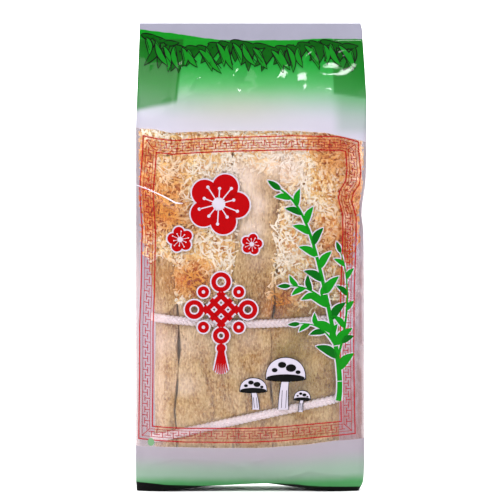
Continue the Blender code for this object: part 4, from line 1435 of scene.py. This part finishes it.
# %% Fungus finish
def fungus_material(name, lace_colours, stem_colours):
    """Dry and matt: browner in its hollows (own colour and painted shade), paler or browner by its patch
    (painted highlight and shadow), darker in its pits (painted shade), streaked by its fibres.
    """
    plan = Plan(name)
    hollow, skirt, tone = plan.fact("hollow"), plan.fact("skirt"), plan.fact("tone")
    fleck = plan.noise(0.0012, 2.0, stretch=(1, 1, 1.6))
    broad = plan.noise(0.010, 3.0, stretch=(1, 1, 1.6))
    # how low a point lies, which paints it browner: own colour and painted shade in the hollows
    low = (hollow + (fleck - 0.5) * 0.8 + (broad - 0.5) * 0.5 - tone * 0.25).within()

    def ramp(colours):
        high, middle, deep = (paint(*c) for c in colours)
        return plan.mixed(low.rise(0.42, 1.0), plan.mixed(low.rise(0.05, 0.48), high, middle), deep)

    grain = plan.fact("grain")
    stem = plan.mixed(grain.rise(0.0, 0.9) * 0.5, ramp(stem_colours), paint(218, 190, 136))
    stem = plan.mixed((-grain).rise(0.1, 1.0) * 0.16, stem, paint(162, 116, 62))
    # painted shade at the middles of the sponge's small pits, with paler rims between them
    cells = plan.add("TexVoronoi", {"Vector": plan.place((720, 720, 430)), "Scale": 1.0})
    spongy = plan.noise(0.007, 2.0, stretch=(1, 1, 2)).rise(0.4, 0.62)
    stem = plan.mixed((1 - cells.rise(0.12, 0.5)) * 0.62 * spongy, stem, paint(198, 160, 100), "MULTIPLY")
    stem = plan.mixed(cells.rise(0.44, 0.8) * 0.34, stem, paint(234, 208, 154))
    colour = plan.mixed(skirt, stem, ramp(lace_colours))
    # painted highlight where the patches' tone is over 0, and painted shadow where it is under 0
    colour = plan.mixed((tone * 0.66).within(0.0, 0.74), colour, paint(255, 240, 230))
    colour = plan.mixed((-tone).within(), colour, paint(238, 184, 86), "MULTIPLY")
    fibre, bare = plan.noise(0.0009, 1.5, stretch=(1, 1, 3)), 1 - skirt
    colour = plan.mixed(fibre.rise(0.5, 0.72) * 0.4 * bare, colour, paint(252, 230, 180))
    colour = plan.mixed((1 - fibre).rise(0.54, 0.76) * 0.3 * bare, colour, paint(206, 172, 124), "MULTIPLY")
    colour = plan.mixed(plan.fact("olive") * 0.85, colour, paint(186, 180, 116), "MULTIPLY")
    rough = plan.bump(plan.noise(0.0009, 2.0, stretch=(1, 1, 2)), 0.00012, 0.5)
    return plan.finish(plan.add("BsdfPrincipled", {"Base Color": colour, "Roughness": 0.82, "Normal": rough}))

# %% [markdown]
# ## Twelve fungi
#
# The four front fungi get 400 levels each, and the wider ones more steps across. The eight
# behind show only between them, so they are coarser.

# %% Twelve fungi
LACE = ((255, 247, 226), (255, 213, 134), (206, 124, 24))
STEM = ((200, 170, 118), (180, 140, 80), (130, 84, 32))
skin = fungus_material("dried_skin", LACE, STEM)
total = 0
for column, steps in enumerate((58, 90, 70, 130)):
    total += triangles(fungus("front", column, skin, steps, 12, 14, 400))
for row, column in itertools.product(("middle", "back"), range(4)):
    total += triangles(fungus(row, column, skin, 28, 6, 22, 80))
print("fungi:", total, "triangles")

# %% [markdown]
# ## The net skirts
#
# The skirt of a bamboo fungus is a net of six-sided meshes. Dried and pressed, it lies in
# crumples over the stems. Each net here starts as a flat honeycomb with shifted corners. Every
# strand is a short flat tube, thinnest at its middle, and all of them are bent by the same
# noise, so the net folds as one sheet while its holes stay open.

# %% Net strands
def honeycomb(x0, x1, z0, z1, cell, seed):
    """The ends of a net's strands, as two arrays of places in mm: a brick lattice, shifted."""
    i, j = np.meshgrid(np.arange(int((x1 - x0) / cell) + 1), np.arange(int((z1 - z0) / cell * 1.6) + 1))
    spots = np.stack([x0 + i * cell + 0.5 * cell * (j % 2), z0 + j * cell / 1.6], -1)
    index = np.stack([i, j], -1).astype(np.int64)
    shift = np.stack([lattice(index, seed), lattice(index, seed + 1)], -1) - 0.5
    spots = spots + shift * cell * 0.95
    rungs = []
    for start in (0, 1):
        low, high = spots[start:-1:2], spots[start + 1 :: 2]
        rows = min(len(low), len(high))
        low, high = low[:rows], high[:rows]
        rungs.append((low, high))
        rungs.append((low[:, 1:], high[:, :-1]) if start == 0 else (low[:, :-1], high[:, 1:]))
    starts = np.concatenate([a.reshape(-1, 2) for a, _ in rungs])
    ends = np.concatenate([b.reshape(-1, 2) for _, b in rungs])
    kept = lattice((starts * 10).astype(np.int64), seed + 2) > 0.26
    return starts[kept], ends[kept]


def tubes(lines, widths, thickness):
    """Closed flat tubes along lines (n, k, 3) in metres, their section four points wide."""
    n, k, _ = lines.shape
    run = np.gradient(lines, axis=1)
    run /= np.maximum(np.linalg.norm(run, axis=2), 1e-9)[..., None]
    side = np.cross(run, (0, -1, 0))
    side /= np.maximum(np.linalg.norm(side, axis=2), 1e-9)[..., None]
    out = np.cross(side, run)
    corners = ((1, 0), (0, 1), (-1, 0), (0, -1))
    ring = [lines + a * side * widths[..., None] / 2 + b * out * thickness / 2 for a, b in corners]
    points = np.stack(ring, 2).reshape(-1, 3)
    body = grid_faces(k, 4, wrap_columns=True)[:, ::-1]
    caps = np.array([[0, 1, 2, 3], [(k - 1) * 4 + c for c in (3, 2, 1, 0)]])
    one = np.concatenate([body, caps])
    return points, (one[None] + 4 * k * np.arange(n)[:, None, None]).reshape(-1, 4)

# %% [markdown]
# ## A crumpled net
#
# The strands of one net are bent together. Two drifts move them sideways, a fold moves them in
# and out, and the net then lies over the bundle, behind the film and pressed in by the cords.

# %% Crumpled nets
def net(name, x0, x1, z0, z1, cell, seed, keep, depth, material, width=1.0):
    """A crumpled net over a stretch of the bundle's front, kept where keep(x, z) is true."""
    starts, ends = honeycomb(x0, x1, z0, z1, cell, seed)
    middle = (starts + ends) / 2
    kept = keep(middle[:, 0], middle[:, 1])
    starts, ends = starts[kept], ends[kept]
    share = np.linspace(0, 1, 6)[None, :, None]
    flat = starts[:, None] * (1 - share) + ends[:, None] * share
    bow = lattice((starts * 10).astype(np.int64), seed + 3) - 0.5
    run = ends - starts
    aside = np.stack([run[:, 1], -run[:, 0]], -1) * bow[:, None]
    flat = flat + aside[:, None] * np.sin(math.pi * share) * 0.5
    bent = flat + (drift(flat / 13, seed + 4) * 6 + drift(flat / 3.2, seed + 6) * 1.9)
    x, z = bent[..., 0] * MM, bent[..., 1] * MM
    fold = np.clip(ridges(flat / (7, 9), seed + 8), 0, 1) * 1.7 + 1.0 * soft_noise(flat / 2.4, seed + 9)
    y = -bundle_depth(x, z) + (depth - fold) * MM
    groove = 0.0030 * ease(1 - tie_distance(x, z) / CORD_REACH)
    x = np.clip(x, from_table(LEFT_EDGE, z) + 0.003, from_table(RIGHT_EDGE, z) - 0.003)
    y = np.maximum(y + groove, film_front(x, z) + LACE_ROOM)
    lines = np.stack([x, y, z], -1)
    grow = 0.6 + 0.8 * lattice((ends * 10).astype(np.int64), seed + 10)
    along = np.linspace(0, 1, 6)
    widths = width * MM * grow[:, None] * (0.5 + 0.9 * (2 * along - 1)[None] ** 2)
    points, faces = tubes(lines, widths, 0.26 * MM)
    chance = lattice((middle[kept] * 9).astype(np.int64), seed)[:, None]
    # painted shade: strands that lie deeper are painted browner, nearer ones paler
    depth_shade = np.clip(0.55 - 0.35 * fold + 0.3 * (chance - 0.5), 0, 1)
    four = lambda values: np.repeat(values[..., None], 4, -1)
    facts = {
        "hollow": four(depth_shade), "skirt": np.ones(len(points)),
        "tone": four(tone_and_light_at(x, z)), "olive": four(olive_at(x, z)),
    }
    made = piece(name, points, faces, material, facts, smooth=False)
    print(name + ":", triangles(made), "triangles")
    return made


def box_of(column, z):
    """The left and right edge of a front fungus's cell at its heights, all in mm."""
    low, high = (spread_x(COLUMNS["front"][column + k], z * MM) / MM for k in (0, 1))
    return low, high


def over(column, hem, rough, seed):
    """True above a fungus's hem and inside its cell, whose edges wander by a few mm."""
    def keep(x, z):
        low, high = box_of(column, z)
        wander = rough * soft_noise(np.stack([x / 6, z / 6], -1), seed)
        on_skirt = (z > hem + wander) & (z < 231)
        return on_skirt & (x > low - 1 + wander) & (x < high + 1 + wander) & (np.abs(x) < 69)
    return keep


lace = fungus_material("dried_lace", ((255, 249, 232), (255, 222, 148), (224, 144, 42)), STEM)
net("skirt_net_1", -72, -44, 140, 234, 3.5, 301, over(0, 150, 4, 1), 1.3, lace, 1.1)
net("skirt_net_2", -56, -6, 108, 234, 3.5, 302, over(1, 117, 4, 2), 1.3, lace, 1.1)
net("skirt_net_3", -14, 20, 196, 234, 3.5, 303, over(2, 206, 4, 3), 1.3, lace, 1.1)
net("skirt_net_4", 8, 72, 104, 234, 3.5, 304, over(3, 119, 5, 4), 1.3, lace, 1.1)

# %% [markdown]
# ## Torn bits
#
# Where a dry net breaks, its bits curl and stay on the skirt. Each is a small closed lens with a
# ragged rim, turned and tilted at random. All the bits of a skirt are one mesh.

# %% Torn bits
def crumbs(column, count, material):
    """Torn bits of net on a skirt: lens-shaped flakes with a ragged rim of seven points."""
    index = np.arange(count)
    chance = lambda k: lattice(np.stack([index, index * 0 + k], -1), 700 + column)
    z = HEMS["front"][column] / MM - 4 + (234 - HEMS["front"][column] / MM + 4) * chance(0)
    low, high = box_of(column, z)
    x = low - 1 + (high - low + 2) * chance(1)
    kept = z * MM > fungus_hem("front", column, x * MM, z * MM) - 0.001 + 0.003 * chance(2)
    deep = 0.1 + 2.0 * chance(3) ** 1.5
    reach = 0.6 + 1.3 * chance(4) ** 2
    turn, long = 2 * math.pi * chance(5), 1.0 + 0.9 * chance(6)
    tilt_x, tilt_z = 1.1 * (chance(7) - 0.5), 1.1 * (chance(8) - 0.5)
    angle = np.linspace(0, 2 * math.pi, 7, endpoint=False)
    ragged = 0.45 + 0.75 * np.stack([chance(20 + k) for k in range(7)], -1)
    u, v = ragged * np.cos(angle) * long[:, None], ragged * np.sin(angle) / long[:, None]
    across = reach[:, None] * (u * np.cos(turn)[:, None] - v * np.sin(turn)[:, None])
    up = reach[:, None] * (u * np.sin(turn)[:, None] + v * np.cos(turn)[:, None])
    rise = across * tilt_x[:, None] + up * tilt_z[:, None]
    offset = np.stack([across, rise, up], -1)
    tip = np.stack([0 * reach, 0.42 * reach, 0 * reach], -1)
    offset = np.concatenate([offset, -tip[:, None], 0.5 * tip[:, None]], 1)[kept]
    x, z, deep = x[kept, None], z[kept, None], deep[kept, None]
    px, pz = (x + offset[..., 0]) * MM, (z + offset[..., 2]) * MM
    py = -bundle_depth(px, pz) + (deep + offset[..., 1]) * MM
    py = py + 0.0030 * ease(1 - tie_distance(px, pz) / CORD_REACH)
    px = np.clip(px, from_table(LEFT_EDGE, pz) + 0.002, from_table(RIGHT_EDGE, pz) - 0.002)
    py = np.maximum(py, film_front(px, pz) + LACE_ROOM)
    ring = np.arange(7)
    after = (ring + 1) % 7
    rims = [np.stack([ring, after, ring * 0 + 7], -1), np.stack([after, ring, ring * 0 + 8], -1)]
    one = np.concatenate(rims)
    faces = (one[None] + 9 * np.arange(len(x))[:, None, None]).reshape(-1, 3)
    # painted shade: bits that lie deeper are painted browner, nearer ones paler
    low = np.clip(0.02 + 0.26 * deep + 0.35 * (chance(9)[kept, None] - 0.5), 0, 1)
    facts = {
        "hollow": np.repeat(low, 9, 1), "skirt": np.ones(px.size),
        "tone": tone_and_light_at(px, pz), "olive": olive_at(px, pz),
    }
    name, points = f"skirt_crumbs_{column + 1}", np.stack([px, py, pz], -1)
    made = piece(name, points, faces, material, facts, smooth=False)
    print(made.name + ":", triangles(made), "triangles")


for column, count in enumerate((620, 1650, 330, 2000)):
    crumbs(column, count, lace)

# %% [markdown]
# ## The braided ties
#
# Each tie is a plait of three strands. Along the cord a strand swings from side to side once
# while it goes in and out twice, and the three are a third of a turn apart, which gives the two
# rows of slanting lobes. The knots lie behind, where the photograph doesn't show them.

# %% Ties
def along_path(path, stops):
    """Places at lengths along a path of points, and the path's total length."""
    steps = np.linalg.norm(np.diff(path, axis=0), axis=1)
    length = np.concatenate([[0], np.cumsum(steps)])
    return np.column_stack([np.interp(stops, length, path[:, k]) for k in range(3)]), length[-1]


def plait(path, closed, swing=0.00158, depth=0.00105, radius=0.00118, pitch=0.0086, outwards=None):
    """Three strands: at phase t each lies swing sin t across the path and depth sin 2t out of it."""
    _, length = along_path(path, np.zeros(1))
    turns = max(1, round(length / pitch))
    count = turns * 18
    stops = np.linspace(0, length, count, endpoint=not closed)
    centre, _ = along_path(path, stops)
    if closed:
        run = np.roll(centre, -1, 0) - np.roll(centre, 1, 0)
    else:
        run = np.gradient(centre, axis=0)
    run /= np.linalg.norm(run, axis=1)[:, None]
    out = outwards(centre)
    out = out - (out * run).sum(1)[:, None] * run
    out /= np.linalg.norm(out, axis=1)[:, None]
    side = np.cross(run, out)
    points, faces, sunk, start = [], [], [], 0
    turn = 2 * math.pi * turns * stops / length
    for strand in range(3):
        t = turn + strand * 2 * math.pi / 3
        line = centre + side * (swing * np.sin(t))[:, None] + out * (depth * np.sin(2 * t))[:, None]
        step = np.roll(line, -1, 0) - np.roll(line, 1, 0) if closed else np.gradient(line, axis=0)
        step /= np.linalg.norm(step, axis=1)[:, None]
        normal = out - (out * step).sum(1)[:, None] * step
        normal /= np.linalg.norm(normal, axis=1)[:, None]
        across = np.cross(step, normal)
        angle = np.linspace(0, 2 * math.pi, 8, endpoint=False)
        out_share, side_share = np.cos(angle)[None, :, None], 1.1 * np.sin(angle)[None, :, None]
        ring = line[:, None] + radius * (out_share * normal[:, None] + side_share * across[:, None])
        points.append(ring.reshape(-1, 3))
        rise = (depth * np.sin(2 * t))[:, None] + radius * np.cos(angle)[None]
        sunk.append((0.5 - 0.5 * rise / (depth + radius)).ravel())
        faces += (grid_faces(count, 8, wrap_rows=closed, wrap_columns=True) + start).tolist()
        if not closed:
            faces.append(tuple(start + k for k in range(7, -1, -1)))
            faces.append(tuple(start + (count - 1) * 8 + k for k in range(8)))
        start += count * 8
    return np.vstack(points), faces, np.concatenate(sunk)

# %% [markdown]
# ## The cord round the bundle
#
# The cord's path is a rounded rectangle just outside the bundle, lifted to the tie's own height
# and pressed in a little behind, under its knot. The knot is a small ring of the same plait, and two
# cut tails hang from it.

# %% Cord round the bundle
def rounded_loop(half_x, half_y, corner, count):
    """Points round a rounded rectangle, evenly spaced, anticlockwise from its front's middle."""
    turn = np.linspace(0, math.pi / 2, 12)
    arcs = []
    for quarter, (sx, sy) in enumerate(((1, -1), (1, 1), (-1, 1), (-1, -1))):
        angle = -math.pi / 2 + quarter * math.pi / 2 + turn
        x = sx * (half_x - corner) + corner * np.cos(angle)
        y = sy * (half_y - corner) + corner * np.sin(angle)
        arcs.append(np.column_stack([x, y]))
    ring = np.vstack([[[0, -half_y]]] + arcs + [[[0, -half_y]]])
    length = np.concatenate([[0], np.cumsum(np.linalg.norm(np.diff(ring, axis=0), axis=1))])
    stops = np.linspace(0, length[-1], count)
    return np.column_stack([np.interp(stops, length, ring[:, k]) for k in (0, 1)])


def outward(at):
    """The way out of the bundle: across its flat sides, and away from the centre of a corner."""
    x, y = at[:, 0] - TIED_MIDDLE, at[:, 1]
    past_x = x - np.sign(x) * (TIED_HALF - CORNER)
    past_y = y - np.sign(y) * np.minimum(np.abs(y), HALF_BUNDLE - CORNER)
    at_corner = np.abs(x)[:, None] > TIED_HALF - CORNER
    return np.where(at_corner, np.column_stack([past_x, past_y, 0 * x]), np.column_stack([0 * x, y, 0 * x]))


def tie(name, material):
    """The cord round the bundle with a ring of cord as its knot and two cut tails, as one mesh."""
    loop = rounded_loop(TIED_HALF + CORD_ROOM, HALF_BUNDLE + CORD_ROOM, CORNER + CORD_ROOM, 400)
    x, y = loop[:, 0] + TIED_MIDDLE, loop[:, 1]
    place = KNOTS[name]
    y = np.where(y > 0, y - 0.0022 * np.exp(-(((x - place) / 0.009) ** 2)), y)
    path = np.column_stack([x, y, tie_height(name, x)])
    parts = [plait(path, True, outwards=outward)]
    centre = np.array([place, HALF_BUNDLE - 0.0014, tie_height(name, place)])
    turn = np.linspace(0, 2 * math.pi, 40)
    ring = centre + 0.0030 * np.column_stack([0 * turn, np.cos(turn), np.sin(turn)])
    parts.append(plait(ring, True, 0.0009, 0.0005, 0.0007, 0.0063, lambda at: at - centre))
    for side in (-1, 1):
        end = centre + 0.014 * np.array([side * math.sin(0.663), 0, -math.cos(0.663)])
        tail = np.linspace(centre, end, 20)
        parts.append(plait(tail, False, 0.0011, 0.0006, 0.0008, 0.0070, lambda at: at * 0 + (0, 1, 0)))
    points = np.vstack([p for p, _, _ in parts])
    start = np.cumsum([0] + [len(p) for p, _, _ in parts])
    faces = [tuple(k + s for k in face) for (_, listed, _), s in zip(parts, start) for face in listed]
    facts = {"sunk": np.concatenate([sunk for _, _, sunk in parts])}
    made = piece(name + "_braid", points, faces, material, facts)
    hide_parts(name)
    print(name + ":", triangles(made), "triangles")

# %% [markdown]
# ## The cord's finish
#
# The cord is white and soft. Between its strands it looks dusky, because little light gets in.
# The plait's own depth says where, so no separate picture is needed.

# %% Cord finish
def cord_material():
    """White fibre, dusky between the strands, by how deep each point of the plait lies."""
    plan = Plan("braided_cord")
    colour = plan.mixed(plan.noise(0.0012, 3.0), paint(232, 218, 224), paint(246, 238, 242))
    colour = plan.mixed(plan.fact("sunk").rise(0.32, 0.75), colour, paint(150, 112, 122))
    threads = plan.bump(plan.noise(0.0005, 2.0), 0.00006, 0.5)
    shader = plan.add("BsdfPrincipled", {"Base Color": colour, "Roughness": 0.6, "Normal": threads})
    return plan.finish(shader)


white_cord = cord_material()
for name in KNOTS:
    tie(name, white_cord)

# %% [markdown]
# ## Finish
#
# Last, the box of the whole pack with its looks on is kept beside the box of the plain frame, so
# that the two can be compared.

# %% Finish
size = {"cad": [list(corner) for corner in cad_box], "visual": [list(corner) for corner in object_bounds()]}
print("box:", size)
